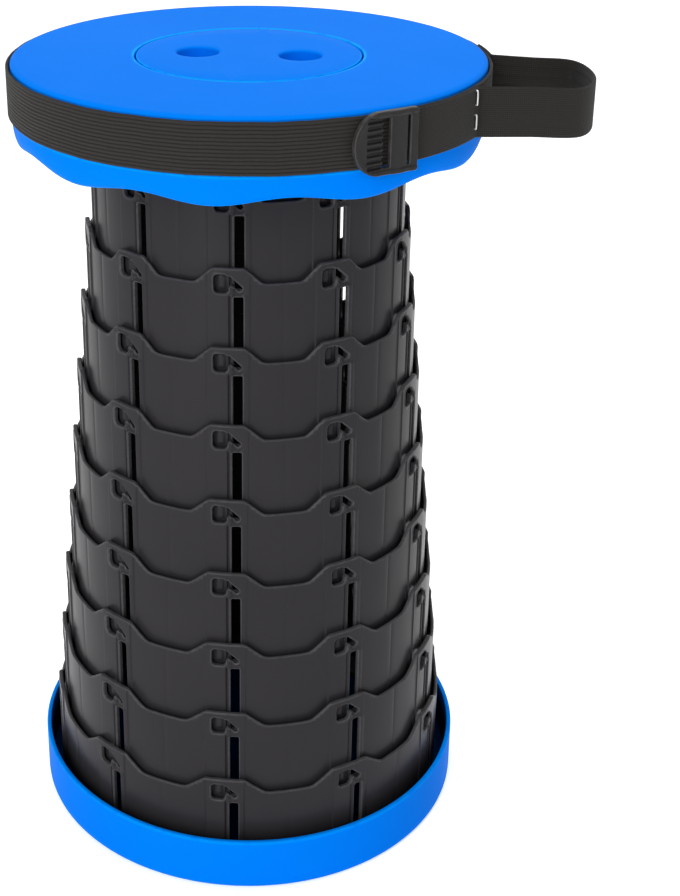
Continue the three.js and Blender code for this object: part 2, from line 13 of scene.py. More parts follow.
import bmesh
import bpy
import numpy as np
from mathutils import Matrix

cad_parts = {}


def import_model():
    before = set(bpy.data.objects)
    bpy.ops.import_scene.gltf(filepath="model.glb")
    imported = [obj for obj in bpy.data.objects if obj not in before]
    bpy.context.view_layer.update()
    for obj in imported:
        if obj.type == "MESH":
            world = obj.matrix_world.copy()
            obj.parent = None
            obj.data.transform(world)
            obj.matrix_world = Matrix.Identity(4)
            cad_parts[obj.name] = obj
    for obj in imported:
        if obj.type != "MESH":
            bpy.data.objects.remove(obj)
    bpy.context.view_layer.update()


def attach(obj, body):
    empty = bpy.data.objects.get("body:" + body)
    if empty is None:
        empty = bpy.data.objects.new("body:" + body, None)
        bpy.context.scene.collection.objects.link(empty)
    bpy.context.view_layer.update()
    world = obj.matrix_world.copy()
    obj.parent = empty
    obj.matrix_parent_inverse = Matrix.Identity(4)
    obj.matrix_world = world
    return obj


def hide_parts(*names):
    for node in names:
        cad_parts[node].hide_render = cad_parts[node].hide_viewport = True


LOG = logging.getLogger("camp_stool")
MM = 0.001
SHARP_DEGREES = 32.0


# ------------------------------------------------------------------ shader expressions
class Val:
    """A node socket that takes part in Python expressions."""

    def __init__(self, graph: "Graph", socket: bpy.types.NodeSocket) -> None:
        """Wraps one output socket of a graph."""
        self.graph = graph
        self.socket = socket

    def _pair(self, operation: str, first: "Operand", second: "Operand") -> "Val":
        """A Math node on numbers, or a Vector Math node where this socket is a vector.

        Args:
            operation: The node's operation.
            first: Left side.
            second: Right side.
        Returns:
            The node's result.
        """
        kind = "ShaderNodeVectorMath" if self.socket.type == "VECTOR" else "ShaderNodeMath"
        return self.graph.add(kind, {"operation": operation}, {0: first, 1: second})

    def __add__(self, other: "Operand") -> "Val":
        """Sum."""
        return self._pair("ADD", self, other)

    def __radd__(self, other: "Operand") -> "Val":
        """Sum with a constant on the left."""
        return self._pair("ADD", other, self)

    def __sub__(self, other: "Operand") -> "Val":
        """Difference."""
        return self._pair("SUBTRACT", self, other)

    def __rsub__(self, other: "Operand") -> "Val":
        """Difference from a constant on the left."""
        return self._pair("SUBTRACT", other, self)

    def __mul__(self, other: "Operand") -> "Val":
        """Product."""
        return self._pair("MULTIPLY", self, other)

    def __rmul__(self, other: "Operand") -> "Val":
        """Product with a constant on the left."""
        return self._pair("MULTIPLY", other, self)

    def __truediv__(self, other: "Operand") -> "Val":
        """Quotient."""
        return self._pair("DIVIDE", self, other)

    def __pow__(self, other: "Operand") -> "Val":
        """Power."""
        return self._pair("POWER", self, other)

    def math(self, operation: str, other: "Operand" = 0.0) -> "Val":
        """Any other Math operation on this value."""
        return self._pair(operation, self, other)


Operand = Union[Val, float, Sequence[float]]


class Graph:
    """One material's nodes."""

    def __init__(self, name: str) -> None:
        """Starts a material with a Principled BSDF.

        Args:
            name: The material's name.
        """
        self.material = bpy.data.materials.new(name)
        self.material.use_nodes = True
        self.nodes = self.material.node_tree.nodes
        self.links = self.material.node_tree.links
        self.shader = self.nodes["Principled BSDF"]

    def add(self, kind: str, settings: dict, inputs: dict, output: Union[int, str] = 0) -> Val:
        """Adds any node.

        Args:
            kind: Node type.
            settings: Its properties; "stops" are a ramp's (place, colour) pairs.
            inputs: Values or links by socket name or number.
            output: Which output to return.
        Returns:
            The chosen output.
        """
        node = self.nodes.new(kind)
        for key, value in settings.items():
            if key == "stops":
                ramp = node.color_ramp
                while len(ramp.elements) < len(value):
                    ramp.elements.new(0.5)
                for element, (place, colour) in zip(ramp.elements, value):
                    element.position = place
                    element.color = (*colour, 1.0)
            else:
                setattr(node, key, value)
        for key, value in inputs.items():
            if isinstance(value, Val):
                self.links.new(value.socket, node.inputs[key])
            else:
                socket = node.inputs[key]
                socket.default_value = (*value, 1.0) if socket.type == "RGBA" and len(value) == 3 else value
        return Val(self, node.outputs[output])

    def place(self, uv: bool = False) -> Val:
        """Object coordinates in metres, or the piece's own UV map."""
        return self.add("ShaderNodeTexCoord", {}, {}, "UV" if uv else "Object")

    def parts(self, vector: Val) -> tuple[Val, Val, Val]:
        """A vector's X, Y and Z."""
        node = self.add("ShaderNodeSeparateXYZ", {}, {0: vector}).socket.node
        return Val(self, node.outputs[0]), Val(self, node.outputs[1]), Val(self, node.outputs[2])

    def noise(self, at: Val, scale: float, detail: float = 2.0, roughness: float = 0.5) -> Val:
        """Noise around 0.5 at this many grains a metre."""
        return self.add("ShaderNodeTexNoise", {}, {
            "Vector": at, "Scale": scale, "Detail": detail, "Roughness": roughness})

    def mix(self, factor: Operand, first: Operand, second: Operand) -> Val:
        """A colour between two colours."""
        node = self.add("ShaderNodeMix", {"data_type": "RGBA"}, {}).socket.node
        for index, value in ((0, factor), (6, first), (7, second)):
            if isinstance(value, Val):
                self.links.new(value.socket, node.inputs[index])
            else:
                node.inputs[index].default_value = (*value, 1.0) if index else value
        return Val(self, node.outputs[2])

    def mark(self, name: str) -> Val:
        """A number stored on the mesh's points."""
        return self.add("ShaderNodeAttribute", {"attribute_name": name}, {}, "Fac")

    def bump(self, height: Val, distance: float, before: Union[Val, None] = None) -> Val:
        """A Bump node: height 1 stands this many metres proud."""
        inputs = {"Height": height, "Distance": distance, "Strength": 1.0}
        if before is not None:
            inputs["Normal"] = before
        return self.add("ShaderNodeBump", {}, inputs)

    def finish(self, sockets: dict) -> bpy.types.Material:
        """Sets or links the shader's sockets.

        Args:
            sockets: Constants or expressions by socket name.
        Returns:
            The material.
        """
        for key, value in sockets.items():
            if isinstance(value, Val):
                self.links.new(value.socket, self.shader.inputs[key])
            else:
                self.shader.inputs[key].default_value = (*value, 1.0) if isinstance(value, tuple) else value
        return self.material


# ------------------------------------------------------------------ finishes
@dataclass(frozen=True)
class BluePlastic:
    """Moulded satin plastic: fine grain, faint flow marks, paler edges (partly worn, partly a painted highlight), and
    painted shade on the tray's floor under the rings.
    """

    name: str = "blue_satin_plastic"
    colour: tuple[float, float, float] = (0.0, 0.165, 0.74)
    # Paler edge colour: partly worn plastic, partly a painted highlight.
    pale_edge: tuple[float, float, float] = (0.0, 0.36, 1.0)
    # Painted shade colour for the tray's floor under the rings.
    shaded: tuple[float, float, float] = (0.0, 0.008, 0.03)
    roughness: float = 0.42
    grains: float = 1500.0
    grain_depth: float = 0.000012

    def make(self) -> bpy.types.Material:
        """The material."""
        g = Graph(self.name)
        at = g.place()
        cloud = g.noise(at, 9.0, 3.0)
        flow = g.noise(at * (1.0, 1.0, 0.25), 60.0, 2.0)
        grain = g.noise(at, self.grains, 1.0)
        pits = g.add("ShaderNodeTexVoronoi", {"feature": "F1"},
                     {"Vector": at, "Scale": self.grains * 0.7}, "Distance")
        edge = g.mark("edge")
        # Paler edge colour on the marked edges: partly blotchy wear, partly a painted highlight (the shoulder under
        # the strap, the cap's lip and edge, the tray's rim).
        pale_edge_mask = edge * (g.noise(at, 130.0, 4.0, 0.7).math("GREATER_THAN", 0.44) * 0.35 + 0.35)
        deep = tuple(channel * 0.9 for channel in self.colour)
        colour = g.mix(cloud, self.colour, deep)
        colour = g.mix(pale_edge_mask, colour, self.pale_edge)
        x, y, z = g.parts(at)
        # Painted shade: inside the tray, under the rings, the floor and the foot of the inner wall are mixed towards
        # the near-black shaded colour.
        inside = (x * x + y * y).math("LESS_THAN", 0.1216 ** 2) * z.math("GREATER_THAN", 0.002)
        depth = ((0.031 - z) / 0.012).math("MAXIMUM", 0.0).math("MINIMUM", 1.0)
        colour = g.mix(inside * depth * 0.94, colour, self.shaded)
        rough = self.roughness + (cloud - 0.5) * 0.08 + (flow - 0.5) * 0.06 - pale_edge_mask * 0.08
        skin = g.bump(grain * 0.6 + pits * 0.5, self.grain_depth)
        return g.finish({
            "Base Color": colour,
            "Roughness": rough,
            "Normal": g.bump(flow, 0.00002, skin),
            "Specular IOR Level": 0.004,
            "Specular Tint": (0.3, 0.65, 1.0),
            "IOR": 1.49,
        })


@dataclass(frozen=True)
class BlackPlastic:
    """Moulded glossy plastic: slight waves, fine drag marks along Z, paler chamfers that are partly scuffed wear and
    partly a painted highlight.
    """

    name: str = "black_gloss_plastic"
    colour: tuple[float, float, float] = (0.0175, 0.0163, 0.0182)
    # Paler chamfer colour: partly scuffed wear, partly a painted highlight.
    pale_edge: tuple[float, float, float] = (0.085, 0.083, 0.088)
    roughness: float = 0.3
    waves: float = 45.0
    wave_depth: float = 0.00016

    def make(self) -> bpy.types.Material:
        """The material."""
        g = Graph(self.name)
        at = g.place()
        wave = g.noise(at * (1.0, 1.0, 0.35), self.waves, 1.0)
        cloud = g.noise(at, 14.0, 3.0)
        drag = g.noise(at * (1.0, 1.0, 0.02), 900.0, 2.0)
        grain = g.noise(at, 2600.0, 1.0)
        scuff = g.noise(at * (1.0, 1.0, 3.0), 210.0, 5.0, 0.75)
        edge = g.mark("edge")
        # Paler chamfer colour: partly scuffed wear, partly a painted highlight along the rings' crown edges and window
        # openings.
        pale_edge_mask = edge * (0.25 + (scuff - 0.35) * 1.1)
        colour = g.mix(cloud, self.colour, tuple(channel * 1.3 for channel in self.colour))
        colour = g.mix(pale_edge_mask, colour, self.pale_edge)
        rough = self.roughness + (cloud - 0.5) * 0.08 + (drag - 0.5) * 0.03 + edge * 0.05
        skin = g.bump(grain * 0.7 + drag * 0.12, 0.000003)
        return g.finish({
            "Base Color": colour,
            "Roughness": rough,
            "Normal": g.bump(wave, self.wave_depth, skin),
            "Specular IOR Level": 0.08,
            "IOR": 1.5,
        })


class Weave(Enum):
    """How a webbing is woven: thread pitch along it, rib pitch across it, slant, share of the threads."""

    RIBBED = (0.001, 25.5e-3 / 14, 0.5, 0.5)
    FINE = (0.00105, 0.00105, 0.5, 0.75)


@dataclass(frozen=True)
class Webbing:
    """Polyester webbing: threads over and under on the piece's own UV map, with fuzz, dust and painted shade in the
    hollows between threads.
    """

    name: str
    weave: Weave
    thread: tuple[float, float, float] = (0.027, 0.0245, 0.0225)
    # Painted shade colour for the weave's hollows.
    gap: tuple[float, float, float] = (0.003, 0.0028, 0.0026)
    depth: float = 0.00022

    def make(self) -> bpy.types.Material:
        """The material: |sin| ridges along u whose phase steps from one thread row of v to the next."""
        g = Graph(self.name)
        pitch, row, slant, threads = self.weave.value
        uv = g.place(uv=True)
        u, v, _ = g.parts(uv)
        fuzz = g.noise(uv, 1400.0, 3.0, 0.7)
        drift = g.noise(uv, 90.0, 2.0)
        rows = v / row + (drift - 0.5) * 0.12
        step = (rows.math("FLOOR") * 0.5).math("FRACT")
        along = u / pitch + step + rows * slant + (drift - 0.5) * 0.3
        over = (along * math.pi).math("SINE").math("ABSOLUTE") ** 0.7
        across = (rows * math.pi).math("SINE").math("ABSOLUTE") ** 0.5
        height = (over * threads + (1.0 - threads)) * across * 0.82 + fuzz * 0.18
        dust = g.noise(uv, 500.0, 4.0, 0.8)
        # Painted shade: the low parts of the weave, between threads and ribs, are mixed towards the near-black gap
        # colour.
        colour = g.mix(height ** 1.3, self.gap, self.thread)
        colour = g.mix((dust - 0.62).math("MAXIMUM", 0.0) * 1.0, colour, (0.11, 0.1, 0.085))
        return g.finish({
            "Base Color": colour,
            "Roughness": 0.78 + fuzz * 0.18,
            "Normal": g.bump(height, self.depth),
            "Specular IOR Level": 0.2,
            "Sheen Weight": 0.05,
            "Sheen Roughness": 0.5,
        })


@dataclass(frozen=True)
class BucklePlastic:
    """Moulded satin black plastic with a fine spark grain and paler worn edges."""

    name: str = "buckle_satin_plastic"
    colour: tuple[float, float, float] = (0.0095, 0.009, 0.009)
    pale_edge: tuple[float, float, float] = (0.06, 0.057, 0.055)

    def make(self) -> bpy.types.Material:
        """The material."""
        g = Graph(self.name)
        at = g.place()
        grain = g.noise(at, 2200.0, 2.0)
        cloud = g.noise(at, 160.0, 4.0, 0.7)
        pale_edge_mask = g.mark("edge") * (0.2 + (cloud - 0.4) * 1.2)
        return g.finish({
            "Base Color": g.mix(pale_edge_mask, g.mix(cloud, self.colour, (0.015, 0.0145, 0.014)), self.pale_edge),
            "Roughness": 0.4 + (cloud - 0.5) * 0.12 + grain * 0.06,
            "Normal": g.bump(grain, 0.00004),
            "Specular IOR Level": 0.2,
        })


@dataclass(frozen=True)
class FootRubber:
    """Matt rubber, dusty in its grooves."""

    name: str = "foot_rubber"
    colour: tuple[float, float, float] = (0.02, 0.02, 0.02)

    def make(self) -> bpy.types.Material:
        """The material."""
        g = Graph(self.name)
        at = g.place()
        grain = g.noise(at, 1700.0, 3.0)
        dust = g.noise(at, 260.0, 5.0, 0.7)
        return g.finish({
            "Base Color": g.mix((dust - 0.45).math("MAXIMUM", 0.0), self.colour, (0.13, 0.12, 0.105)),
            "Roughness": 0.82 + grain * 0.1,
            "Normal": g.bump(grain, 0.00008),
            "Specular IOR Level": 0.3,
        })


@dataclass(frozen=True)
class ZincSteel:
    """Bright zinc plate on steel wire and screws, with fine drawn lines and dull spots."""

    name: str = "zinc_steel"
    colour: tuple[float, float, float] = (0.64, 0.65, 0.66)

    def make(self) -> bpy.types.Material:
        """The material."""
        g = Graph(self.name)
        at = g.place()
        lines = g.noise(at * (1.0, 1.0, 0.1), 3000.0, 2.0)
        spots = g.noise(at, 700.0, 4.0, 0.7)
        return g.finish({
            "Base Color": g.mix(spots, self.colour, (0.42, 0.41, 0.39)),
            "Metallic": 1.0,
            "Roughness": 0.24 + spots * 0.2,
            "Normal": g.bump(lines, 0.00001),
        })


@dataclass(frozen=True)
class StudioPaper:
    """White paper for the floor and backdrop, nearly even."""

    name: str = "studio_paper"

    def make(self) -> bpy.types.Material:
        """The material."""
        g = Graph(self.name)
        fibre = g.noise(g.place(), 35.0, 3.0)
        return g.finish({
            "Base Color": g.mix(fibre, (0.93, 0.93, 0.935), (0.9, 0.9, 0.905)),
            "Roughness": 0.75,
            "Emission Color": (1.0, 1.0, 1.0),
            "Emission Strength": 0.4,
        })


# ------------------------------------------------------------------ surfaces as arrays
@dataclass
class Patch:
    """Part of a mesh: points in millimetres, polygons of one size each with their UVs, and edge marks."""

    points: np.ndarray
    faces: list[tuple[np.ndarray, np.ndarray]]
    edge: np.ndarray

    @staticmethod
    def joined(patches: Sequence["Patch"]) -> "Patch":
        """Several patches as one."""
        starts = np.cumsum([0] + [len(patch.points) for patch in patches])
        faces = [(ids + start, uv) for patch, start in zip(patches, starts) for ids, uv in patch.faces]
        return Patch(np.concatenate([p.points for p in patches]),
                     faces, np.concatenate([p.edge for p in patches]))

    def turned(self, degrees: float) -> "Patch":
        """The patch turned about Z."""
        angle = math.radians(degrees)
        turn = np.array([[math.cos(angle), -math.sin(angle), 0],
                         [math.sin(angle), math.cos(angle), 0], [0, 0, 1]])
        return Patch(self.points @ turn.T, self.faces, self.edge)

    def flipped(self) -> "Patch":
        """The patch with its faces the other way round."""
        return Patch(self.points, [(ids[:, ::-1], uv[:, ::-1]) for ids, uv in self.faces], self.edge)

    def to_object(self, name: str, weld: bool = True) -> bpy.types.Object:
        """Makes the mesh object, in metres.

        Args:
            name: The piece's name.
            weld: Whether touching points are merged.
        Returns:
            The object, smooth shaded with its sharp edges marked.
        """
        mesh = bpy.data.meshes.new(name)
        ids = np.concatenate([face.reshape(-1) for face, _ in self.faces])
        uvs = np.concatenate([uv.reshape(-1, 2) for _, uv in self.faces])
        sizes = np.concatenate([np.full(len(face), face.shape[1]) for face, _ in self.faces])
        mesh.vertices.add(len(self.points))
        mesh.vertices.foreach_set("co", (self.points * MM).astype(np.float32).reshape(-1))
        mesh.loops.add(len(ids))
        mesh.loops.foreach_set("vertex_index", ids.astype(np.int32))
        mesh.polygons.add(len(sizes))
        mesh.polygons.foreach_set("loop_start", np.concatenate([[0], np.cumsum(sizes)[:-1]]).astype(np.int32))
        layer = mesh.uv_layers.new(name="along_across")
        layer.data.foreach_set("uv", (uvs * MM).astype(np.float32).reshape(-1))
        mark = mesh.attributes.new("edge", "FLOAT", "POINT")
        mark.data.foreach_set("value", self.edge.astype(np.float32))
        mesh.update(calc_edges=True)
        if weld:
            made = bmesh.new()
            made.from_mesh(mesh)
            bmesh.ops.remove_doubles(made, verts=made.verts, dist=2e-6)
            made.to_mesh(mesh)
            made.free()
        mesh.validate()
        mesh.shade_smooth()
        mesh.set_sharp_from_angle(angle=math.radians(SHARP_DEGREES))
        obj = bpy.data.objects.new(name, mesh)
        bpy.context.scene.collection.objects.link(obj)
        return obj


def grid(points: np.ndarray, u: np.ndarray, v: np.ndarray, edge: np.ndarray,
         around: bool, ring: bool) -> Patch:
    """A grid of quads. Point (i, j) goes to (i+1, j), (i+1, j+1), (i, j+1).

    Args:
        points: Rows by columns by 3, millimetres.
        u: One length for each row, and one more when the rows close.
        v: One length for each column, and one more when the columns close.
        edge: Edge mark of each column.
        around: Whether the last row joins the first.
        ring: Whether the last column joins the first.
    Returns:
        The patch, outward when rows run right and columns run up as seen from outside.
    """
    rows, columns = points.shape[:2]
    i, j = np.meshgrid(np.arange(rows - (not around)), np.arange(columns - (not ring)), indexing="ij")
    corners = [(i, j), (i + 1, j), (i + 1, j + 1), (i, j + 1)]
    ids = np.stack([(a % rows) * columns + b % columns for a, b in corners], -1).reshape(-1, 4)
    uv = np.stack([np.stack([u[a], v[b]], -1) for a, b in corners], -2).reshape(-1, 4, 2)
    return Patch(points.reshape(-1, 3), [(ids, uv)], np.tile(edge, rows))


def turned_profile(profile: np.ndarray, steps: int, shift: Union[Callable, None] = None,
                   edge: Union[np.ndarray, None] = None) -> Patch:
    """A closed profile carried round Z: x = r sin a, y = -r cos a for every angle a.

    Args:
        profile: [r, z] points that run clockwise in the r-z plane, so that the faces point outwards.
        steps: Places round the axis.
        shift: Takes angle and profile arrays and gives what is added to z.
        edge: Edge mark of each profile point.
    Returns:
        The closed patch.
    """
    angle = np.linspace(0, 2 * math.pi, steps + 1)
    r, z = profile[:, 0], profile[:, 1]
    length = np.concatenate([[0], np.cumsum(np.hypot(*np.diff(np.vstack([profile, profile[:1]]), axis=0).T))])
    a = angle[:-1, None]
    low = z[None, :] + (shift(a, profile) if shift else 0 * a)
    points = np.stack([r * np.sin(a), -r * np.cos(a), low], -1)
    marks = np.zeros(len(r)) if edge is None else edge
    return grid(points, angle * r.max(), length, marks, True, True)


def rounded(corners: Sequence[tuple[float, float, float]], steps: int = 4) -> tuple[np.ndarray, np.ndarray]:
    """A closed outline with each corner rounded by its own radius.

    Each corner is replaced by a quadratic curve between the points one radius away on its two sides, with
    an unmarked point a little further on each side, so that the mark ends there.

    Args:
        corners: [r, z, radius] of each corner.
        steps: Points on a rounded corner, less one.
    Returns:
        The outline and a mark that is 1 on rounded corners.
    """
    points, marks = [], []
    count = len(corners)
    t = np.linspace(0, 1, steps + 1)[:, None]
    for k, (x, y, radius) in enumerate(corners):
        here = np.array([x, y])
        if radius <= 0:
            points.append(here[None])
            marks.append([0.0])
            continue
        sides, guards = [], []
        for other in (corners[k - 1], corners[(k + 1) % count]):
            way = np.array(other[:2]) - here
            sides.append(here + way * min(radius / np.linalg.norm(way), 0.48))
            guards.append(here + way * min((radius + 1.0) / np.linalg.norm(way), 0.49))
        curve = (1 - t) ** 2 * sides[0] + 2 * t * (1 - t) * here + t ** 2 * sides[1]
        points.append(np.vstack([guards[0], curve, guards[1]]))
        marks.append([0.0] + [1.0] * (steps + 1) + [0.0])
    return np.concatenate(points), np.concatenate(marks)


def smooth_step(low: float, high: float, x: np.ndarray) -> np.ndarray:
    """0 below low, 1 above high, 3t^2 - 2t^3 between."""
    t = np.clip((x - low) / (high - low), 0, 1)
    return t * t * (3 - 2 * t)


def soft_max(a: np.ndarray, b: np.ndarray, size: float) -> np.ndarray:
    """The larger of two fields, with their meeting rounded over this size."""
    h = np.clip(0.5 + 0.5 * (a - b) / size, 0, 1)
    return b + (a - b) * h + size * h * (1 - h)


def box_field(s: np.ndarray, z: np.ndarray, centre: tuple[float, float], half: tuple[float, float],
              radius: float) -> np.ndarray:
    """Distance to a round-cornered box, negative inside."""
    dx = np.abs(s - centre[0]) - half[0] + radius
    dz = np.abs(z - centre[1]) - half[1] + radius
    return np.hypot(np.maximum(dx, 0), np.maximum(dz, 0)) + np.minimum(np.maximum(dx, dz), 0) - radius


def bar_field(s: np.ndarray, z: np.ndarray, start: tuple[float, float], end: tuple[float, float],
              radius: float) -> np.ndarray:
    """Distance to a straight bar with round ends, negative inside."""
    along = np.array(end) - np.array(start)
    t = np.clip(((s - start[0]) * along[0] + (z - start[1]) * along[1]) / (along @ along), 0, 1)
    return np.hypot(s - start[0] - t * along[0], z - start[1] - t * along[1]) - radius


Field = Callable[[np.ndarray, np.ndarray], np.ndarray]
CELLS: dict[int, list[tuple[int, ...]]] = {
    1: [(0, 4, 7)], 2: [(1, 5, 4)], 3: [(0, 1, 5, 7)], 4: [(2, 6, 5)], 5: [(0, 4, 7), (2, 6, 5)],
    6: [(1, 2, 6, 4)], 7: [(0, 1, 2, 6, 7)], 8: [(3, 7, 6)], 9: [(0, 4, 6, 3)],
    10: [(1, 5, 4), (3, 7, 6)], 11: [(0, 1, 5, 6, 3)], 12: [(2, 3, 7, 5)], 13: [(0, 4, 5, 2, 3)],
    14: [(1, 2, 3, 7, 4)], 15: [(0, 1, 2, 3)],
}


@dataclass
class Sheet:
    """A wall cut out by a distance field, as a closed solid with a chamfer round every opening.

    The field is negative inside the wall. Its zero line is found on the grid's lines, cell by cell, and
    the outline runs straight across each cell. The two faces stop one chamfer short of it, and three
    strips join them: chamfer, wall, chamfer.
    """

    s: np.ndarray
    z: np.ndarray
    shape: Field
    place: Callable[[np.ndarray, np.ndarray, np.ndarray], np.ndarray]
    outer: Field
    thickness: float
    closed: bool
    chamfer: float = 0.4

    def patch(self) -> Patch:
        """The closed patch."""
        s_all, z_all, faces, rims = self._cells()
        outer = self.outer(s_all, z_all)
        inner = np.full_like(outer, -self.thickness)
        step = 0.02
        slope_s = (self.shape(s_all + step, z_all) - self.shape(s_all - step, z_all)) / (2 * step)
        slope_z = (self.shape(s_all, z_all + step) - self.shape(s_all, z_all - step)) / (2 * step)
        size = np.maximum(np.hypot(slope_s, slope_z), 0.5)
        s_out = s_all + self.chamfer * slope_s / size
        z_out = z_all + self.chamfer * slope_z / size
        count = len(s_all)
        layers = [
            self.place(s_all, z_all, outer),
            self.place(s_out, z_out, outer - self.chamfer),
            self.place(s_out, z_out, inner + self.chamfer),
            self.place(s_all, z_all, inner),
        ]
        on_rim = np.zeros(count, bool)
        on_rim[rims.reshape(-1)] = True
        flat = np.stack([s_all, z_all], -1)
        made = [(ids, flat[ids]) for ids in faces]
        made += [(ids[:, ::-1] + 3 * count, flat[ids[:, ::-1]]) for ids in faces]
        for layer in range(3):
            p, q = rims[:, 0] + layer * count, rims[:, 1] + layer * count
            strip = np.stack([q, p, p + count, q + count], -1)
            made.append((strip, flat[strip % count]))
        points = np.concatenate(layers)
        edge = np.concatenate([on_rim, np.ones(count), np.ones(count), on_rim]).astype(float)
        used = np.unique(np.concatenate([ids.reshape(-1) for ids, _ in made]))
        renumber = np.zeros(len(points), int)
        renumber[used] = np.arange(len(used))
        return Patch(points[used], [(renumber[ids], uv) for ids, uv in made], edge[used])

    def _cells(self) -> tuple[np.ndarray, np.ndarray, list[np.ndarray], np.ndarray]:
        """Cuts the grid's cells along the outline.

        Returns:
            s and z of every candidate point, the polygons by size, and the outline's segments.
        """
        s, z = self.s, self.z
        count_s = len(s) - 1 if self.closed else len(s)
        across, up = np.meshgrid(s, z, indexing="ij")
        value = self.shape(across, up) + self.chamfer
        if self.closed:
            value[-1] = value[0]
        value = np.where(np.abs(value) < 1e-6, -1e-6, value)
        inside = value < 0
        with np.errstate(divide="ignore", invalid="ignore"):
            t_s = np.clip(value[:-1] / (value[:-1] - value[1:]), 0.03, 0.97)
            t_z = np.clip(value[:, :-1] / (value[:, :-1] - value[:, 1:]), 0.03, 0.97)
        s_cross = across[:-1] + np.nan_to_num(t_s) * np.diff(across, axis=0)
        z_cross = up[:, :-1] + np.nan_to_num(t_z) * np.diff(up, axis=1)
        rows, columns = count_s, len(z)
        total = rows * columns
        s_points = np.zeros((3, rows, columns))
        z_points = np.zeros((3, rows, columns))
        s_points[0], z_points[0] = across[:rows], up[:rows]
        s_points[1, :len(s) - 1], z_points[1] = s_cross[:rows], up[:rows]
        s_points[2], z_points[2, :, :-1] = across[:rows], z_cross[:rows]
        i, j = np.meshgrid(np.arange(len(s) - 1), np.arange(columns - 1), indexing="ij")
        right = (i + 1) % rows if self.closed else i + 1
        ids = np.stack([
            i * columns + j, right * columns + j, right * columns + j + 1, i * columns + j + 1,
            total + i * columns + j, 2 * total + right * columns + j,
            total + i * columns + j + 1, 2 * total + i * columns + j,
        ], -1).reshape(-1, 8)
        kind = (inside[:-1, :-1] * 1 + inside[1:, :-1] * 2
                + inside[1:, 1:] * 4 + inside[:-1, 1:] * 8).reshape(-1)
        by_size: dict[int, list[np.ndarray]] = {3: [], 4: [], 5: []}
        rims = []
        for case, polygons in CELLS.items():
            cells = ids[kind == case]
            for polygon in polygons:
                by_size[len(polygon)].append(cells[:, polygon])
                for a, b in zip(polygon, polygon[1:]):
                    if a > 3 and b > 3:
                        rims.append(cells[:, (a, b)])
        faces = [np.concatenate(found) for found in by_size.values() if sum(map(len, found))]
        return s_points.reshape(-1), z_points.reshape(-1), faces, np.concatenate(rims)


def swept(path: np.ndarray, side: np.ndarray, up: np.ndarray, section: np.ndarray, closed: bool,
          edge: np.ndarray) -> Patch:
    """A closed section carried along a path: point = path + a * side + b * up for each [a, b].

    Args:
        path: Points of the path.
        side: Unit vector of the section's first axis at each point.
        up: Unit vector of its second axis.
        section: [a, b] points, anticlockwise as seen against the path's direction.
        closed: Whether the path's end joins its start.
        edge: Edge mark of each section point.
    Returns:
        The closed patch, with flat ends on an open path.
    """
    points = path[:, None] + section[None, :, :1] * side[:, None] + section[None, :, 1:] * up[:, None]
    gaps = np.linalg.norm(np.diff(np.vstack([path, path[:1]]), axis=0), axis=1)
    u = np.concatenate([[0], np.cumsum(gaps)])
    v = np.append(section[:, 1], section[0, 1])
    made = grid(points, u, v, edge, closed, True)
    if not closed:
        count = len(section)
        first = np.arange(count)[None, ::-1]
        last = (len(path) - 1) * count + np.arange(count)[None]
        for ids, place in ((first, 0.0), (last, u[-2])):
            uv = np.stack([np.full(ids.shape, place), section[ids % count, 1]], -1)
            made.faces.append((ids, uv))
    return made


def carved(obj: bpy.types.Object, cutters: Sequence[bpy.types.Object]) -> None:
    """Cuts closed cutters out of a piece, applies the result and removes the cutters."""
    for cutter in cutters:
        step = obj.modifiers.new("cut", "BOOLEAN")
        step.operation = "DIFFERENCE"
        step.solver = "EXACT"
        step.object = cutter
    made = bpy.data.meshes.new_from_object(obj.evaluated_get(bpy.context.evaluated_depsgraph_get()))
    obj.modifiers.clear()
    obj.data = made
    obj.data.shade_smooth()
    obj.data.set_sharp_from_angle(angle=math.radians(SHARP_DEGREES))
    for cutter in cutters:
        bpy.data.objects.remove(cutter)


def handed_over(obj: bpy.types.Object, material: bpy.types.Material, body: str, slot: str,
                *nodes: str) -> bpy.types.Object:
    """Dresses a finished piece and gives it to the frame.

    Args:
        obj: The piece.
        material: Its finish.
        body: The body that it rides on.
        slot: Not used.
        nodes: The nodes that it stands for.
    Returns:
        The piece.
    """
    obj.data.materials.clear()
    obj.data.materials.append(material)
    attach(obj, body)
    if nodes:
        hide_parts(*nodes)
    LOG.info("%s: %d points, %d faces, on %s", obj.name, len(obj.data.vertices), len(obj.data.polygons), body)
    return obj


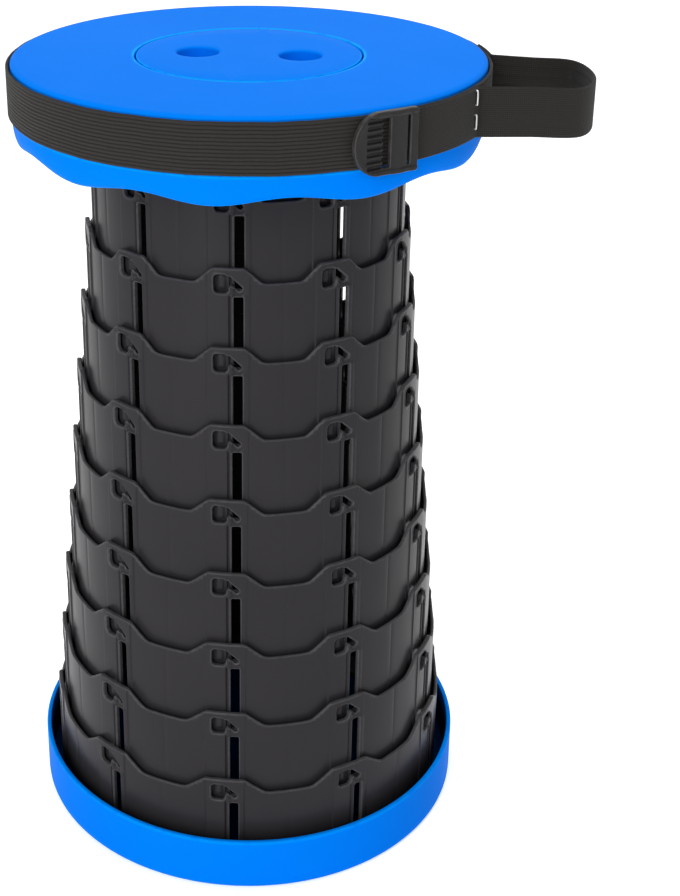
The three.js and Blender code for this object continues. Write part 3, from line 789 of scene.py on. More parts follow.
# ------------------------------------------------------------------ rings
@dataclass
class Tower:
    """The ten nested rings, with their crowns, lock windows, raised columns and lugs."""

    count: int = 10
    columns: int = 10
    turn: float = 2.0
    wall: float = 1.9
    space: float = 1.93
    first_radius: float = 80.1
    height: float = 57.0
    rise: float = 41.1
    last_crown_z: float = 65.8
    crown_flat: float = 10.7
    crown_foot: float = 22.7
    crown_depth: float = 8.5
    seat_ring_top: float = 0.5
    base_ring_foot: float = 62.0
    socket: tuple[float, float] = (-3.65, -8.3)
    socket_half: tuple[float, float] = (3.9, 5.1)
    passage: tuple[tuple[float, float], tuple[float, float]] = ((0.2, -5.6), (5.6, -10.6))
    passage_half: float = 1.5
    slot_middle: float = 5.1
    slot_half: float = 2.5
    slot_top: float = -15.2
    slot_foot: float = 3.4
    band_half: float = 10.9
    band_proud: float = 0.62
    lug_half: tuple[float, float] = (2.6, 4.3)
    lug_proud: float = 1.5
    latch_step: float = 0.55
    flange: float = 3.0

    def radius(self, number: int) -> float:
        """Outside radius of a ring."""
        return self.first_radius + (number - 1) * (self.wall + self.space)

    def crown_z(self, number: int) -> float:
        """Height of a ring's crowns."""
        return self.last_crown_z + (self.count - number) * self.rise

    def _lines(self, number: int) -> tuple[np.ndarray, np.ndarray]:
        """Grid lines: dense at the latches, crowns and lugs, wide between.

        Args:
            number: The ring's number.
        Returns:
            The lines' places round the ring, and their heights from the crown top.
        """
        pitch = 2 * math.pi * self.radius(number) / self.columns
        latch = np.arange(-12.1, 12.2, self.latch_step)
        wide = max(3, math.ceil((pitch / 2 - 13.2) / 2.6))
        side = np.linspace(latch[-1], pitch / 2 - 1.2, wide + 1)[1:]
        column = np.concatenate([-side[::-1], latch, side])
        middle = pitch / 2 + np.array([-0.6, 0.0, 0.6])
        one = np.concatenate([column, middle])
        s = (one[None] + pitch * np.arange(self.columns)[:, None]).reshape(-1)
        s = np.append(s, s[0] + pitch * self.columns)
        top = [1.1, 0.5] + list(np.arange(0.05, -16.6, -self.latch_step))
        middle_z = [-18.5, -21.5, -26.0, -31.0, -36.0, -40.5, -43.5]
        if number == self.count:
            low = [-47.0, -50.0, -52.4, -53.4, -54.4, -56.0, -59.0, -61.0, -61.7, -62.6]
        else:
            low = list(np.arange(-44.6, -54.7, -0.72)) + [-55.3, -56.1, -56.8, -57.6]
        return s, np.array(sorted(top + middle_z + low))

    def _near(self, number: int, s: np.ndarray) -> np.ndarray:
        """Distance along the wall from the nearest column's middle."""
        pitch = 2 * math.pi * self.radius(number) / self.columns
        return (s + pitch / 2) % pitch - pitch / 2

    def _shape(self, number: int) -> Field:
        """The wall's distance field: crowns over valleys, less the lock windows, above the lower edge."""
        radius = self.radius(number)
        flat = radius * math.radians(self.crown_flat / 2)
        foot = radius * math.radians(self.crown_foot / 2)
        slant = math.hypot(foot - flat, self.crown_depth)
        low = -self.base_ring_foot if number == self.count else -self.height

        def shape(s: np.ndarray, z: np.ndarray) -> np.ndarray:
            """Field at these places."""
            near = self._near(number, s)
            if number == 1:
                top = z - self.seat_ring_top
            else:
                slope = ((np.abs(near) - flat) * self.crown_depth + z * (foot - flat)) / slant
                crown = soft_max(z, slope, 0.7)
                top = -soft_max(-crown, -(z + self.crown_depth), 1.4)
            socket = box_field(near, z, self.socket, self.socket_half, 2.4)
            passage = bar_field(near, z, *self.passage, self.passage_half)
            slot_low = self.slot_foot - self.height
            slot = box_field(near, z, (self.slot_middle, (self.slot_top + slot_low) / 2),
                             (self.slot_half, (self.slot_top - slot_low) / 2), 0.5)
            window = np.minimum(np.minimum(socket, passage), slot)
            return np.maximum(np.maximum(top, low - z), -window)

        return shape

    def _relief(self, number: int) -> Field:
        """How far the outer face stands proud: column band, slot lips, snap ramp, lug, panel line."""
        pitch = 2 * math.pi * self.radius(number) / self.columns

        def relief(s: np.ndarray, z: np.ndarray) -> np.ndarray:
            """Height at these places."""
            near = self._near(number, s)
            out = self.band_proud * (
                1 - smooth_step(self.band_half - 0.35, self.band_half + 0.25, np.abs(near)))
            below = 1 - smooth_step(-15.0, -13.6, z)
            lip = smooth_step(0.9, 1.5, near) * (1 - smooth_step(2.6, 3.1, near))
            groove = smooth_step(-0.1, 0.45, near) * (1 - smooth_step(0.75, 1.3, near))
            right = smooth_step(7.3, 7.9, near) * (1 - smooth_step(9.2, 10.4, near))
            out = out + below * (0.4 * lip - 0.75 * groove + 0.3 * right)
            ramp = smooth_step(2.4, 3.1, near) * (1 - smooth_step(7.2, 7.9, near))
            fall = np.clip((z + 15.2) / 4.2, 0, 1) * smooth_step(-15.6, -15.0, z) * (1 - smooth_step(-10.8, -9.6, z))
            out = out - 1.15 * ramp * fall
            rim = box_field(near, z, self.socket, self.socket_half, 2.4)
            out = out + 0.22 * smooth_step(0.0, 0.3, rim) * (1 - smooth_step(0.7, 1.5, rim))
            out = out - 0.22 * (1 - smooth_step(0.15, 0.9, pitch / 2 - np.abs(near)))
            if number < self.count:
                lug = box_field(near, z, (self.socket[0], -self.rise + self.socket[1]), self.lug_half, 1.6)
                out = out + (self.lug_proud - out) * (1 - smooth_step(-1.7, 0.0, lug))
            return out

        return relief

    def _flange(self, number: int) -> Patch:
        """The inward flange that the screws hold, under the seat or on the tray's floor."""
        inner = self.radius(number) - self.wall
        low, reach = (428.7, 45.0) if number == 1 else (3.8, inner - 15.0)
        outline, marks = rounded([
            (inner + 0.2, low, 0), (reach, low, 0.4), (reach, low + self.flange, 0.4), (inner + 0.2, low + self.flange, 0)])
        return turned_profile(outline, 120, edge=marks * 0.5)

    def build(self, material: bpy.types.Material) -> None:
        """Builds every ring and gives it to its body."""
        for number in range(1, self.count + 1):
            radius, top = self.radius(number), self.crown_z(number)

            def place(s: np.ndarray, z: np.ndarray, out: np.ndarray) -> np.ndarray:
                """A place on the wall, this far out from its outer face."""
                angle, far = s / radius + math.radians(self.turn), radius + out
                return np.stack([far * np.sin(angle), -far * np.cos(angle), top + z], -1)

            s, z = self._lines(number)
            sheet = Sheet(s, z, self._shape(number), place, self._relief(number), self.wall, True, 0.55)
            patches = [sheet.patch()]
            if number in (1, self.count):
                patches.append(self._flange(number))
            node = f"ring_{number:02d}"
            body = {1: "seat", self.count: "base"}.get(number, f"{node}_body")
            obj = Patch.joined(patches).to_object(f"{node}_moulding", weld=False)
            handed_over(obj, material, body, "black_plastic", node)


# ------------------------------------------------------------------ seat
@dataclass
class Seat:
    """The blue seat: shell with a scalloped skirt, centre cap with two finger holes."""

    radius: float = 124.0
    wall: float = 2.6
    top: float = 440.0
    plate: float = 3.5
    edge_round: float = 3.6
    skirt_start: float = 412.4
    skirt_end: float = 398.6
    tuck: float = 4.5
    scallop: float = 2.0
    scallops: int = 10
    band_set_in: float = 0.45
    cap_radius: float = 59.0
    cap_gap: float = 0.65
    cap_shy: float = 0.35
    recess: float = 5.5
    recess_floor: float = 2.5
    opening: float = 45.0
    hole_offset: float = 27.0
    hole_radius: float = 11.0
    hole_depth: float = 9.6
    hole_lip: float = 1.5
    cap_plate: float = 3.0
    cap_rim: float = 2.4
    well_wall: float = 1.7
    steps: int = 360

    def _profile(self) -> tuple[np.ndarray, np.ndarray]:
        """The shell's section: recess, underside, wall, skirt out and up again, rounded edge, top."""
        t = np.linspace(0, 1, 13)
        inside = self.radius - self.wall
        drop = self.skirt_start - self.skirt_end

        def skirt(radius: float, share: np.ndarray) -> np.ndarray:
            """A quarter ellipse that draws in downwards."""
            turn = share * math.pi / 2
            return np.stack([radius - self.tuck * (1 - np.cos(turn)), self.skirt_start - drop * np.sin(turn)], -1)

        edge_turn = np.linspace(0, math.pi / 2, 12)
        body = self.radius - self.band_set_in
        edge = np.stack([
            body - (self.edge_round - self.band_set_in) * (1 - np.cos(edge_turn)),
            self.top - self.edge_round / 2 * (1 - np.sin(edge_turn))], -1)
        shoulder = np.array([[0.22, -0.3], [0.12, 0.05], [-0.1, 0.35], [-0.35, 0.5], [-self.band_set_in, 0.85]])
        shoulder = shoulder + [self.radius, self.skirt_start - 0.4]
        recess_z = self.top - self.recess
        opening = self.cap_radius + self.cap_gap
        under = self.top - self.plate
        lip = np.array([[opening + 0.9, self.top], [opening + 0.45, self.top - 0.08], [opening + 0.12, self.top - 0.3],
                        [opening, self.top - 0.8]])
        start = [[self.opening, recess_z - self.recess_floor], [opening + self.wall, recess_z - self.recess_floor],
                 [opening + self.wall, under], [inside - 3.0, under], [inside - 1.2, under - 0.4],
                 [inside - 0.3, under - 1.3], [inside, under - 3.0]]
        outer = skirt(self.radius, t[::-1])[:-1]
        foot_in, foot_out = skirt(inside, t)[-1], outer[0]
        bottom = np.array([foot_in + [0.35, -0.45], (foot_in + foot_out) / 2 + [0, -0.6], foot_out + [-0.35, -0.45]])
        end = [[opening, self.top - 1.6], [opening, recess_z], [self.opening, recess_z]]
        wall = [[body, self.skirt_start + 1.2]]
        flat = [[edge[-1, 0] - 1.2, self.top], [opening + 2.0, self.top]]
        pieces = [start, skirt(inside, t), bottom, outer, shoulder, wall, edge, flat, lip, end]
        # Marks for the paler edge colour: the skirt's foot is a worn edge, the lip round the cap's opening is a worn
        # edge with a painted highlight, and the shoulder just under the strap carries only a painted highlight.
        wear_and_highlight_weights = [0, 0, 1, 0, 0.5, 0, 0, 0, 1, 0]
        marks = np.concatenate([np.full(len(piece), weight) for piece, weight in zip(pieces, wear_and_highlight_weights)])
        return np.vstack([np.asarray(piece, float) for piece in pieces]), marks

    def _scallop(self, angle: np.ndarray, profile: np.ndarray) -> np.ndarray:
        """The lower edge drops and rises ten times round: -2 cos(10 a), fading to nothing up the skirt."""
        share = np.clip((self.skirt_start - profile[:, 1]) / (self.skirt_start - self.skirt_end), 0, 1)
        return -self.scallop * np.cos(self.scallops * angle) * share[None, :]

    def _star(self, low: float, hole: float, rim: float, surface: Sequence[tuple[float, float]]) -> Patch:
        """Half a disc with a well in it: rays from the well's centre out to the half disc's edge.

        Args:
            low: Height of the well's floor.
            hole: Radius of the well.
            rim: Radius of the disc.
            surface: [radius, z] of the circles round the well from its wall to the disc's face.
        Returns:
            The half with x above 0, facing up.
        """
        arc = np.linspace(-math.pi / 2, math.pi / 2, 61)
        line = np.linspace(1, -1, 33)[1:-1]
        goal = np.concatenate([
            np.stack([rim * np.cos(arc), rim * np.sin(arc)], -1),
            np.stack([0 * line, rim * line], -1)])
        centre = np.array([self.hole_offset, 0.0])
        ray = goal - centre
        ray = ray / np.linalg.norm(ray, axis=1, keepdims=True)
        floor = [(0.001, low), (hole * 0.5, low), (hole - 1.0, low), (hole - 0.3, low + 0.3), (hole, low + 1.0)]
        circles = floor + list(surface)
        rows = [np.column_stack([centre + r * ray, np.full(len(ray), z)]) for r, z in circles]
        last = centre + circles[-1][0] * ray
        for share in (0.12, 0.35, 0.65, 1.0):
            rows.append(np.column_stack([last + (goal - last) * share, np.full(len(ray), circles[-1][1])]))
        points = np.stack(rows, 0)
        marks = np.zeros(points.shape[1])
        u = np.arange(len(rows) + 1) * 1.0
        return grid(points, u, np.arange(points.shape[1] + 1) * 1.0, marks, False, True)

    def _cap(self) -> Patch:
        """The cap: two starred halves on top, two below, and a turned rim between them."""
        lip = self.hole_lip
        top, low = self.top, self.top - self.hole_depth
        radius = self.cap_radius - self.cap_shy
        edge_flat = radius - 0.7
        turn = np.linspace(0, math.pi / 2, 5)
        flare = [(self.hole_radius + lip * (1 - math.cos(a)), top - lip * (1 - math.sin(a))) for a in turn]
        upper = self._star(low, self.hole_radius, edge_flat, flare)
        under, inner = top - self.cap_plate, self.cap_radius - self.cap_rim
        well = self.hole_radius + self.well_wall
        lower = self._star(low - self.well_wall, well, inner, [(well, under - 0.5), (well + 0.5, under)])
        rim_low = top - self.recess + 0.3
        rim = np.array([[edge_flat, top], [radius - 0.3, top - 0.1], [radius - 0.07, top - 0.3],
                        [radius, top - 0.8], [radius, rim_low], [inner, rim_low], [inner, under]])
        angle = np.linspace(-math.pi / 2, 3 * math.pi / 2, 121)
        strip = np.stack([rim[None, :, 0] * np.cos(angle[:-1, None]), rim[None, :, 0] * np.sin(angle[:-1, None]),
                          np.broadcast_to(rim[None, :, 1], (120, len(rim)))], -1)
        # Marks on the cap's top rounded edge for the paler edge colour: worn edge and painted highlight.
        side = grid(strip, angle * self.cap_radius, rim[:, 1], np.array([0, 1, 1, 1, 0, 0, 0.0]), True, False)
        return Patch.joined([
            upper, upper.turned(180), lower.flipped(), lower.turned(180).flipped(), side.flipped()])

    def build(self, material: bpy.types.Material) -> None:
        """Builds the shell and the cap."""
        profile, marks = self._profile()
        shell = turned_profile(profile[::-1], self.steps, self._scallop, marks[::-1])
        handed_over(shell.to_object("seat_shell_moulding"), material, "seat", "blue_plastic", "seat_shell")
        handed_over(self._cap().to_object("centre_cap_moulding"),
                    material, "seat", "blue_plastic", "centre_cap")


# ------------------------------------------------------------------ base
@dataclass
class Base:
    """The blue tray with pockets for its feet and screws, the rubber pads, and all the screws."""

    radius: float = 123.8
    height: float = 31.4
    wall: float = 2.6
    floor: float = 3.5
    foot_circle: float = 105.0
    foot_radius: float = 9.0
    foot_height: float = 1.5
    screw_circle: float = 103.47
    seat_screw_circle: float = 51.2
    screw_start: float = 30.0
    head_radius: float = 3.1
    head: float = 1.6
    shank_radius: float = 1.4
    gap: float = 0.3
    count: int = 6

    def _spots(self, circle: float, start: float) -> np.ndarray:
        """Places on a circle, evenly spaced."""
        angle = np.radians(start + 360 / self.count * np.arange(self.count))
        return np.stack([circle * np.sin(angle), -circle * np.cos(angle), 0 * angle], -1)

    @staticmethod
    def _moved(patch: Patch, spot: np.ndarray) -> Patch:
        """A patch moved to a spot."""
        return Patch(patch.points + spot, patch.faces, patch.edge)

    def _tray(self) -> bpy.types.Object:
        """The tray: rounded rim and foot, and blind pockets in its underside."""
        inside = self.radius - self.wall
        outline, marks = rounded([
            (0.001, 0, 0), (self.radius, 0, 3.2), (self.radius, self.height, 1.2), (inside, self.height, 0.9),
            (inside, self.floor, 1.5), (0.001, self.floor, 0)], 6)
        outline = np.insert(outline, 1, [[40.0, 0.0], [90.0, 0.0]], axis=0)
        marks = np.insert(marks, 1, [0.0, 0.0])
        # Paler edge marks only on the tray's upper rounds, at 0.35 strength: worn edge and painted highlight.
        marks = 0.35 * marks * (outline[:, 1] > self.height / 2)
        tray = turned_profile(outline[::-1], 288, edge=marks[::-1]).to_object("base_tray_moulding")
        pocket = turned_profile(
            self._plug(self.foot_radius + self.gap, -1.0, self.foot_height + self.gap), 48)
        head = turned_profile(self._plug(self.head_radius + self.gap, -1.0, self.head + 2 * self.gap), 32)
        tools = [self._moved(pocket, spot) for spot in self._spots(self.foot_circle, 0.0)]
        tools += [self._moved(head, spot) for spot in self._spots(self.screw_circle, self.screw_start)]
        carved(tray, [Patch.joined(tools).to_object("pocket_tools")])
        return tray

    @staticmethod
    def _plug(radius: float, low: float, high: float) -> np.ndarray:
        """A plain cylinder's section."""
        return np.array([[0.001, high], [radius, high], [radius, low], [0.001, low]])

    def _pad(self) -> Patch:
        """A pad: a turned disc with three grooves in its underside."""
        r = np.linspace(0.001, self.foot_radius - 0.5, 40)
        low = 0.22 * (0.5 + 0.5 * np.cos(r / self.foot_radius * 6 * math.pi)) ** 3
        under = np.stack([r, low], -1)
        side = [[self.foot_radius - 0.15, 0.12], [self.foot_radius, 0.45],
                [self.foot_radius, self.foot_height], [0.001, self.foot_height]]
        return turned_profile(np.vstack([under, side])[::-1], 48)

    def _screw(self, shank: float) -> bpy.types.Object:
        """A pan-head screw, head down at z 0, with thread ridges and a cross recess in its head."""
        turns = np.arange(0, shank - 1.0, 0.28)
        thread = np.stack([self.shank_radius - 0.2 * (np.arange(len(turns)) % 2),
                           self.head + 0.15 + turns], -1)
        dome = np.linspace(0, math.pi / 2, 7)
        head = np.stack([0.001 + (self.head_radius - 0.001) * np.sin(dome), 0.9 * (1 - np.cos(dome))], -1)
        tail = [[self.head_radius, self.head], [self.shank_radius, self.head]]
        end = [[0.001, self.head + shank]]
        patch = turned_profile(np.vstack([head, tail, thread, end])[::-1], 24)
        screw = patch.to_object("screw_blank")
        arms = []
        for turn in (0.0, 90.0):
            half = np.array([1.75, 0.32])
            corner = np.array([[-1, -1], [1, -1], [1, 1], [-1, 1]]) * half
            low = np.column_stack([corner, np.full(4, -0.5)])
            high = np.column_stack([corner * [0.55, 1.0], np.full(4, 1.05)])
            points = np.vstack([low, high])
            quads = np.array([[3, 2, 1, 0], [4, 5, 6, 7], [0, 1, 5, 4],
                              [1, 2, 6, 5], [2, 3, 7, 6], [3, 0, 4, 7]])
            arms.append(Patch(points, [(quads, np.zeros((6, 4, 2)))], np.zeros(8)).turned(turn + 0.01))
        carved(screw, [arm.to_object("recess_tool") for arm in arms])
        return screw

    def _screws(self, blank: bpy.types.Object, stem: str, body: str, circle: float, z: float, over: bool,
                material: bpy.types.Material) -> None:
        """Copies of one screw in their places.

        Args:
            blank: The screw, head down at the origin.
            stem: The nodes' name before the number.
            body: The body that they ride on.
            circle: Radius of their circle.
            z: Height of the head's face.
            over: Whether the screws point down instead of up.
            material: Their finish.
        """
        own = np.zeros(len(blank.data.vertices) * 3)
        blank.data.vertices.foreach_get("co", own)
        own = own.reshape(-1, 3) / MM
        turn = np.diag([1.0, -1.0, -1.0]) if over else np.eye(3)
        for number, spot in enumerate(self._spots(circle, self.screw_start), 1):
            mesh = blank.data.copy()
            points = (own @ turn + spot + [0, 0, z]) * MM
            mesh.vertices.foreach_set("co", points.astype(np.float32).reshape(-1))
            mesh.update()
            screw = bpy.data.objects.new(f"{stem}_{number}_piece", mesh)
            bpy.context.scene.collection.objects.link(screw)
            handed_over(screw, material, body, "zinc_steel", f"{stem}_{number}")

    def build(self, blue: bpy.types.Material, rubber: bpy.types.Material, steel: bpy.types.Material) -> None:
        """Builds the tray, pads and screws."""
        handed_over(self._tray(), blue, "base", "blue_plastic", "base_tray")
        pad = self._pad()
        for number, spot in enumerate(self._spots(self.foot_circle, 0.0), 1):
            obj = self._moved(pad, spot).to_object(f"foot_pad_{number}_rubber")
            handed_over(obj, rubber, "base", "foot_rubber", f"foot_pad_{number}")
        base_blank = self._screw(self.floor - self.head - self.gap + 3.0 + self.gap + 1.0)
        self._screws(base_blank, "base_screw", "base", self.screw_circle, self.gap, False, steel)
        seat_blank = self._screw(self.gap + 2.5 + self.gap + 3.0 + 1.0)
        self._screws(seat_blank, "seat_screw", "seat", self.seat_screw_circle, 436.4, True, steel)
        for blank in (base_blank, seat_blank):
            bpy.data.objects.remove(blank)


# ------------------------------------------------------------------ strap
@dataclass
class Strap:
    """Webbing round the seat, the carrying loop, the ladder-lock buckle and the staples."""

    width: float = 25.5
    thickness: float = 1.6
    top: float = 438.2
    inner_radius: float = 124.3
    handle_radius: float = 127.0
    ribs: int = 14
    rib_depth: float = 0.3
    start: float = 46.5
    root: float = 69.6
    back: float = 101.0
    end: float = 112.0
    reach: float = 177.97
    front_shoulder: tuple[float, float] = (82.0, 6.0)
    back_shoulder: tuple[float, float] = (101.0, 8.0)
    tip_drop: float = 4.0
    buckle_angle: float = 38.0
    buckle_length: float = 35.0
    buckle_height: float = 30.4
    buckle_drop: float = 0.8
    buckle_thickness: float = 3.4
    buckle_plane: float = 126.69
    teeth: int = 8
    staple_angle: float = 68.1
    staple_length: float = 8.0
    staple_spacing: float = 12.0
    staple_lift: float = 2.0
    staple_radius: float = 128.65
    wire: float = 0.5

    @property
    def middle_z(self) -> float:
        """Height of the band's middle."""
        return self.top - self.width / 2

    def _section(self, outer_ribs: int, inner_ribs: int, outer_depth: float, inner_depth: float,
                 sharpness: float = 0.6) -> np.ndarray:
        """The webbing's section, [out, up]: ribbed faces and rounded selvedges.

        Each face is flat less depth * (1 - |sin|^sharpness), which leaves grooves between full ribs.
        """
        half_w, half_t = self.width / 2, self.thickness / 2
        b = np.linspace(-half_w + 0.8, half_w - 0.8, 113)
        share = (b + half_w) / self.width
        edge = np.linspace(0, math.pi, 7)[1:-1]

        def face(ribs: int, depth: float) -> np.ndarray:
            """Distance of one face from the middle."""
            return half_t - depth * (1 - np.abs(np.sin(math.pi * ribs * share)) ** sharpness)

        outer = np.stack([face(outer_ribs, outer_depth), b], -1)
        inner = np.stack([-face(inner_ribs, inner_depth), b], -1)[::-1]
        over = np.stack([half_t * 0.85 * np.cos(edge), half_w - 0.8 + 0.8 * np.sin(edge)], -1)
        return np.vstack([outer, over, inner, -over])

    def _band(self) -> Patch:
        """The band: the section carried round the rim, with its edges waving slightly."""
        angle = np.linspace(0, 2 * math.pi, 361)[:-1]
        out = np.stack([np.sin(angle), -np.cos(angle), 0 * angle], -1)
        wave = 0.10 * np.sin(17 * angle) + 0.06 * np.sin(41 * angle + 1.0)
        path = out * (self.inner_radius + self.thickness / 2) + np.array([0, 0, 1.0]) * (self.middle_z + wave)[:, None]
        up = np.tile([0.0, 0.0, 1.0], (len(angle), 1))
        section = self._section(self.ribs, self.ribs, self.rib_depth, 0.1)
        return swept(path, out, up, section, True, np.zeros(len(section)))

    def _polar(self, radius: float, degrees: np.ndarray) -> np.ndarray:
        """Points in plan."""
        a = np.radians(degrees)
        return np.stack([radius * np.sin(a), -radius * np.cos(a)], -1)

    def _loop(self) -> np.ndarray:
        """The loop in plan: a centripetal spline through its root, shoulders and tip.

        Between two knots the point is the usual four-point pyramid of straight blends.
        """
        root = self._polar(self.handle_radius, np.array(self.root))
        back = self._polar(self.handle_radius, np.array(self.back))
        front_far = self._polar(self.reach - self.front_shoulder[1], np.array(self.front_shoulder[0]))
        back_far = self._polar(self.reach - self.back_shoulder[1], np.array(self.back_shoulder[0]))
        tip_angle = (self.front_shoulder[0] + self.back_shoulder[0]) / 2
        tip = self._polar(self.reach - self.thickness / 2, np.array(tip_angle))
        knots = [root, (root + front_far) / 2, front_far, tip, back_far, (back_far + back) / 2, back]
        knots = [2 * knots[0] - knots[1]] + knots + [2 * knots[-1] - knots[-2]]
        found = []
        share = np.linspace(0, 1, 30)[:-1]
        for p0, p1, p2, p3 in zip(knots, knots[1:], knots[2:], knots[3:]):
            t0 = 0.0
            t1 = t0 + math.sqrt(np.linalg.norm(p1 - p0))
            t2 = t1 + math.sqrt(np.linalg.norm(p2 - p1))
            t3 = t2 + math.sqrt(np.linalg.norm(p3 - p2))
            t = (t1 + (t2 - t1) * share)[:, None]
            a1 = (t1 - t) / (t1 - t0) * p0 + (t - t0) / (t1 - t0) * p1
            a2 = (t2 - t) / (t2 - t1) * p1 + (t - t1) / (t2 - t1) * p2
            a3 = (t3 - t) / (t3 - t2) * p2 + (t - t2) / (t3 - t2) * p3
            b1 = (t2 - t) / (t2 - t0) * a1 + (t - t0) / (t2 - t0) * a2
            b2 = (t3 - t) / (t3 - t1) * a2 + (t - t1) / (t3 - t1) * a3
            found.append((t2 - t) / (t2 - t1) * b1 + (t - t1) / (t2 - t1) * b2)
        return np.vstack(found + [back[None]])

    def _handle(self) -> Patch:
        """The handle webbing on edge: along the rim, round the loop and back, hanging lower outwards."""
        before = self._polar(self.handle_radius, np.linspace(self.start, self.root, 30)[:-1])
        after = self._polar(self.handle_radius, np.linspace(self.back, self.end, 22)[1:])
        plan = np.vstack([before, self._loop(), after])
        length = np.concatenate([[0], np.cumsum(np.linalg.norm(np.diff(plan, axis=0), axis=1))])
        even = np.linspace(0, length[-1], 260)
        plan = np.stack([np.interp(even, length, plan[:, k]) for k in (0, 1)], -1)
        for _ in range(3):
            plan[1:-1] = (plan[:-2] + 2 * plan[1:-1] + plan[2:]) / 4
        out = np.hypot(plan[:, 0], plan[:, 1]) - self.handle_radius
        beyond = np.clip(out / (self.reach - self.handle_radius), 0, 1)
        z = self.middle_z - self.tip_drop * beyond
        path = np.column_stack([plan, z])
        along = np.gradient(plan, axis=0)
        along = along / np.linalg.norm(along, axis=1, keepdims=True)
        side = np.column_stack([along[:, 1], -along[:, 0], 0 * z])
        up = np.tile([0.0, 0.0, 1.0], (len(z), 1))
        section = self._section(25, 5, 0.04, 0.5, 0.9)
        return swept(path, side, up, section, False, np.zeros(len(section)))

    def _buckle(self) -> Patch:
        """The buckle: a D-shaped grip, a toothed bar, windows and a crowned bar, cut as one sheet."""
        half_l, half_h = self.buckle_length / 2, self.buckle_height / 2
        square, depth = -4.1, 13.4

        def shape(u: np.ndarray, v: np.ndarray) -> np.ndarray:
            """Field: half an ellipse on a round-cornered frame, less two windows."""
            frame = box_field(u, v, ((half_l + square) / 2 - 1.0, 0),
                              ((half_l - square) / 2 + 1.0, half_h), 1.6)
            scale = np.hypot((u - square) / depth, v / half_h)
            grip = np.maximum((scale - 1) * min(depth, half_h), u - square - 1.0)
            whole = np.minimum(frame, grip)
            first = box_field(u, v, (0.2, 0), (2.1, half_h - 3.4), 0.6)
            second = box_field(u, v, (12.6, 0), (0.8, half_h - 3.4), 0.5)
            return np.maximum(whole, -np.minimum(first, second))

        def relief(u: np.ndarray, v: np.ndarray) -> np.ndarray:
            """Outer face: crowned bars, sunken tooth bed, teeth, raised rim of the grip."""
            crown = 0.9 * (1 - np.clip(np.abs(u - 7.1) / 4.8, 0, 1) ** 2) * smooth_step(2.1, 2.9, u)
            bed = smooth_step(-10.8, -10.0, u) * (1 - smooth_step(-2.4, -1.8, u)) * (np.abs(v) < half_h - 2.6)
            tooth = np.abs(((v / (self.buckle_height - 5.2) * self.teeth) % 1.0) - 0.5) * 2
            lean = 1.5 * (1 - np.clip((u + 10.0) / 8.2, 0, 1))
            ridge = -1.3 + 1.3 * smooth_step(0.2, 0.75, tooth) + 0.3 * lean
            rim = smooth_step(0.72, 0.9, np.hypot((u - square) / depth, v / half_h)) * (u < square)
            side = smooth_step(half_h - 2.8, half_h - 1.8, np.abs(v)) * (u > -9.0)
            last = 0.45 * smooth_step(13.7, 14.5, u)
            return self.buckle_thickness - 1.0 + crown * 0.9 + bed * ridge + 0.35 * rim + 0.45 * side + last

        tangent = math.radians(self.buckle_angle)

        def place(u: np.ndarray, v: np.ndarray, out: np.ndarray) -> np.ndarray:
            """A place on the flat that touches the rim at the buckle's angle."""
            far = self.buckle_plane + out
            return np.stack([
                far * math.sin(tangent) + u * math.cos(tangent),
                -far * math.cos(tangent) + u * math.sin(tangent),
                self.middle_z - self.buckle_drop + v], -1)

        u = np.arange(-half_l - 0.5, half_l + 0.6, 0.33)
        v = np.arange(-half_h - 0.5, half_h + 0.6, 0.33)
        return Sheet(u, v, shape, place, relief, 0.0, False, 0.35).patch()

    def _staple(self, z: float) -> Patch:
        """A staple: round wire, slightly bowed outwards, its two ends bent into the webbing."""
        t = np.linspace(-1, 1, 41)
        rise = np.sign(t) * np.minimum(np.abs(t) / 0.72, 1.0) * (self.staple_length / 2 - self.wire)
        inward = smooth_step(0.7, 1.0, np.abs(t)) * 1.0 + 0.25 * t ** 2
        angle = math.radians(self.staple_angle)
        out = np.array([math.sin(angle), -math.cos(angle), 0.0])
        path = out[None] * (self.staple_radius - inward)[:, None] + np.outer(z + rise, [0, 0, 1.0])
        along = np.gradient(path, axis=0)
        along = along / np.linalg.norm(along, axis=1, keepdims=True)
        side = np.tile([math.cos(angle), math.sin(angle), 0.0], (len(t), 1))
        up = np.cross(along, side)
        ring = np.linspace(0, 2 * math.pi, 13)[:-1]
        section = np.stack([self.wire * np.cos(ring), self.wire * np.sin(ring)], -1)
        return swept(path, side, up, section, False, np.zeros(12))

    def build(self, ribbed: bpy.types.Material, fine: bpy.types.Material, plastic: bpy.types.Material,
              steel: bpy.types.Material) -> None:
        """Builds the band, handle, buckle and staples."""
        handed_over(self._band().to_object("strap_band_webbing"), ribbed, "strap", "webbing", "strap_band")
        handed_over(self._handle().to_object("handle_strap_webbing"),
                    fine, "strap", "webbing", "handle_strap")
        handed_over(self._buckle().to_object("buckle_moulding", False),
                    plastic, "strap", "buckle_plastic", "buckle")
        for name, side in (("staple_upper", 1), ("staple_lower", -1)):
            wire = self._staple(self.middle_z + self.staple_lift + side * self.staple_spacing / 2)
            handed_over(wire.to_object(f"{name}_wire"), steel, "strap", "zinc_steel", name)


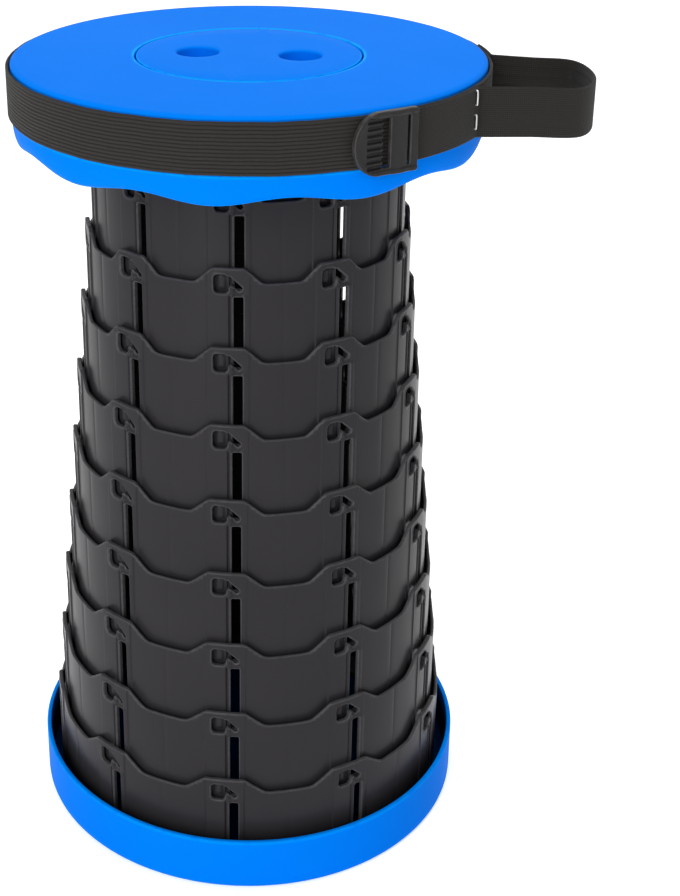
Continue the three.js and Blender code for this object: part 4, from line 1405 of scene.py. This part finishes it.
# ------------------------------------------------------------------ studio
@dataclass
class Studio:
    """White sweep, soft lights and the camera. The floor lies a hair under the tray."""

    floor_z: float = -0.0003
    azimuth: float = 8.7
    distance: float = 0.8165
    height: float = 0.6328
    pitch: float = 22.45
    lens: float = 63.95
    shift: tuple[float, float] = (0.1016, -0.154)
    lights: tuple[tuple[str, tuple[float, float, float], tuple[float, float], float], ...] = field(default=(
        ("key", (-0.6, -1.8, 1.5), (1.0, 1.3), 26.0),
        ("right_strip", (1.7, -0.9, 0.7), (0.35, 1.7), 5.0),
        ("front_strip", (-0.7, -1.9, 0.4), (0.5, 1.0), 14.0),
        ("overhead", (0.1, 0.5, 2.0), (1.8, 1.8), 26.0),
    ))

    def _sweep(self, material: bpy.types.Material) -> None:
        """A floor that curves up into a backdrop: a quarter circle carried sideways."""
        turn = np.linspace(0, math.pi / 2, 24)
        bend = np.stack([2.2 + 1.2 * np.sin(turn), 1.2 * (1 - np.cos(turn))], -1)
        side = np.vstack([[[-7.0, 0.0]], bend, [[3.4, 5.0]]]) + [0.0, self.floor_z]
        across = np.linspace(7.0, -7.0, 3)
        points = np.stack([
            np.broadcast_to(across[:, None], (3, len(side))),
            np.broadcast_to(side[None, :, 0], (3, len(side))),
            np.broadcast_to(side[None, :, 1], (3, len(side)))], -1) / MM
        patch = grid(points, across / MM, side[:, 0] / MM, np.zeros(len(side)), False, False)
        obj = patch.flipped().to_object("sweep")
        obj.data.materials.append(material)

    def build(self, material: bpy.types.Material) -> None:
        """Builds the sweep, the lights, the world and the camera."""
        self._sweep(material)
        for name, spot, size, power in self.lights:
            light = bpy.data.lights.new(name, "AREA")
            light.shape = "RECTANGLE"
            light.size, light.size_y = size
            light.energy = power
            obj = bpy.data.objects.new(name, light)
            bpy.context.scene.collection.objects.link(obj)
            way = np.array([0, 0, 0.25]) - np.array(spot)
            obj.location = spot
            flat = math.hypot(way[0], way[1])
            obj.rotation_euler = (math.atan2(flat, -way[2]), 0, math.atan2(-way[0], way[1]))
        world = bpy.data.worlds.new("studio")
        world.use_nodes = True
        world.node_tree.nodes["Background"].inputs["Color"].default_value = (1.0, 1.0, 1.0, 1.0)
        world.node_tree.nodes["Background"].inputs["Strength"].default_value = 0.3
        bpy.context.scene.world = world
        bpy.context.scene.view_settings.view_transform = "Standard"
        data = bpy.data.cameras.new("camera")
        data.lens = self.lens
        data.shift_x, data.shift_y = self.shift
        camera = bpy.data.objects.new("camera", data)
        bpy.context.scene.collection.objects.link(camera)
        a = math.radians(self.azimuth)
        camera.location = (self.distance * math.sin(a), -self.distance * math.cos(a), self.height)
        camera.rotation_euler = (math.radians(90 - self.pitch), 0, a)
        bpy.context.scene.camera = camera


def main() -> None:
    """Builds the studio and every sub-assembly."""
    logging.basicConfig(level=logging.INFO, format="%(message)s")
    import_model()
    blue, black = BluePlastic().make(), BlackPlastic().make()
    steel = ZincSteel().make()
    Studio().build(StudioPaper().make())
    Tower().build(black)
    Seat().build(blue)
    Base().build(blue, FootRubber().make(), steel)
    ribbed = Webbing("ribbed_webbing", Weave.RIBBED).make()
    fine = Webbing("fine_webbing", Weave.FINE).make()
    Strap().build(ribbed, fine, BucklePlastic().make(), steel)


if __name__ == "__main__":
    main()
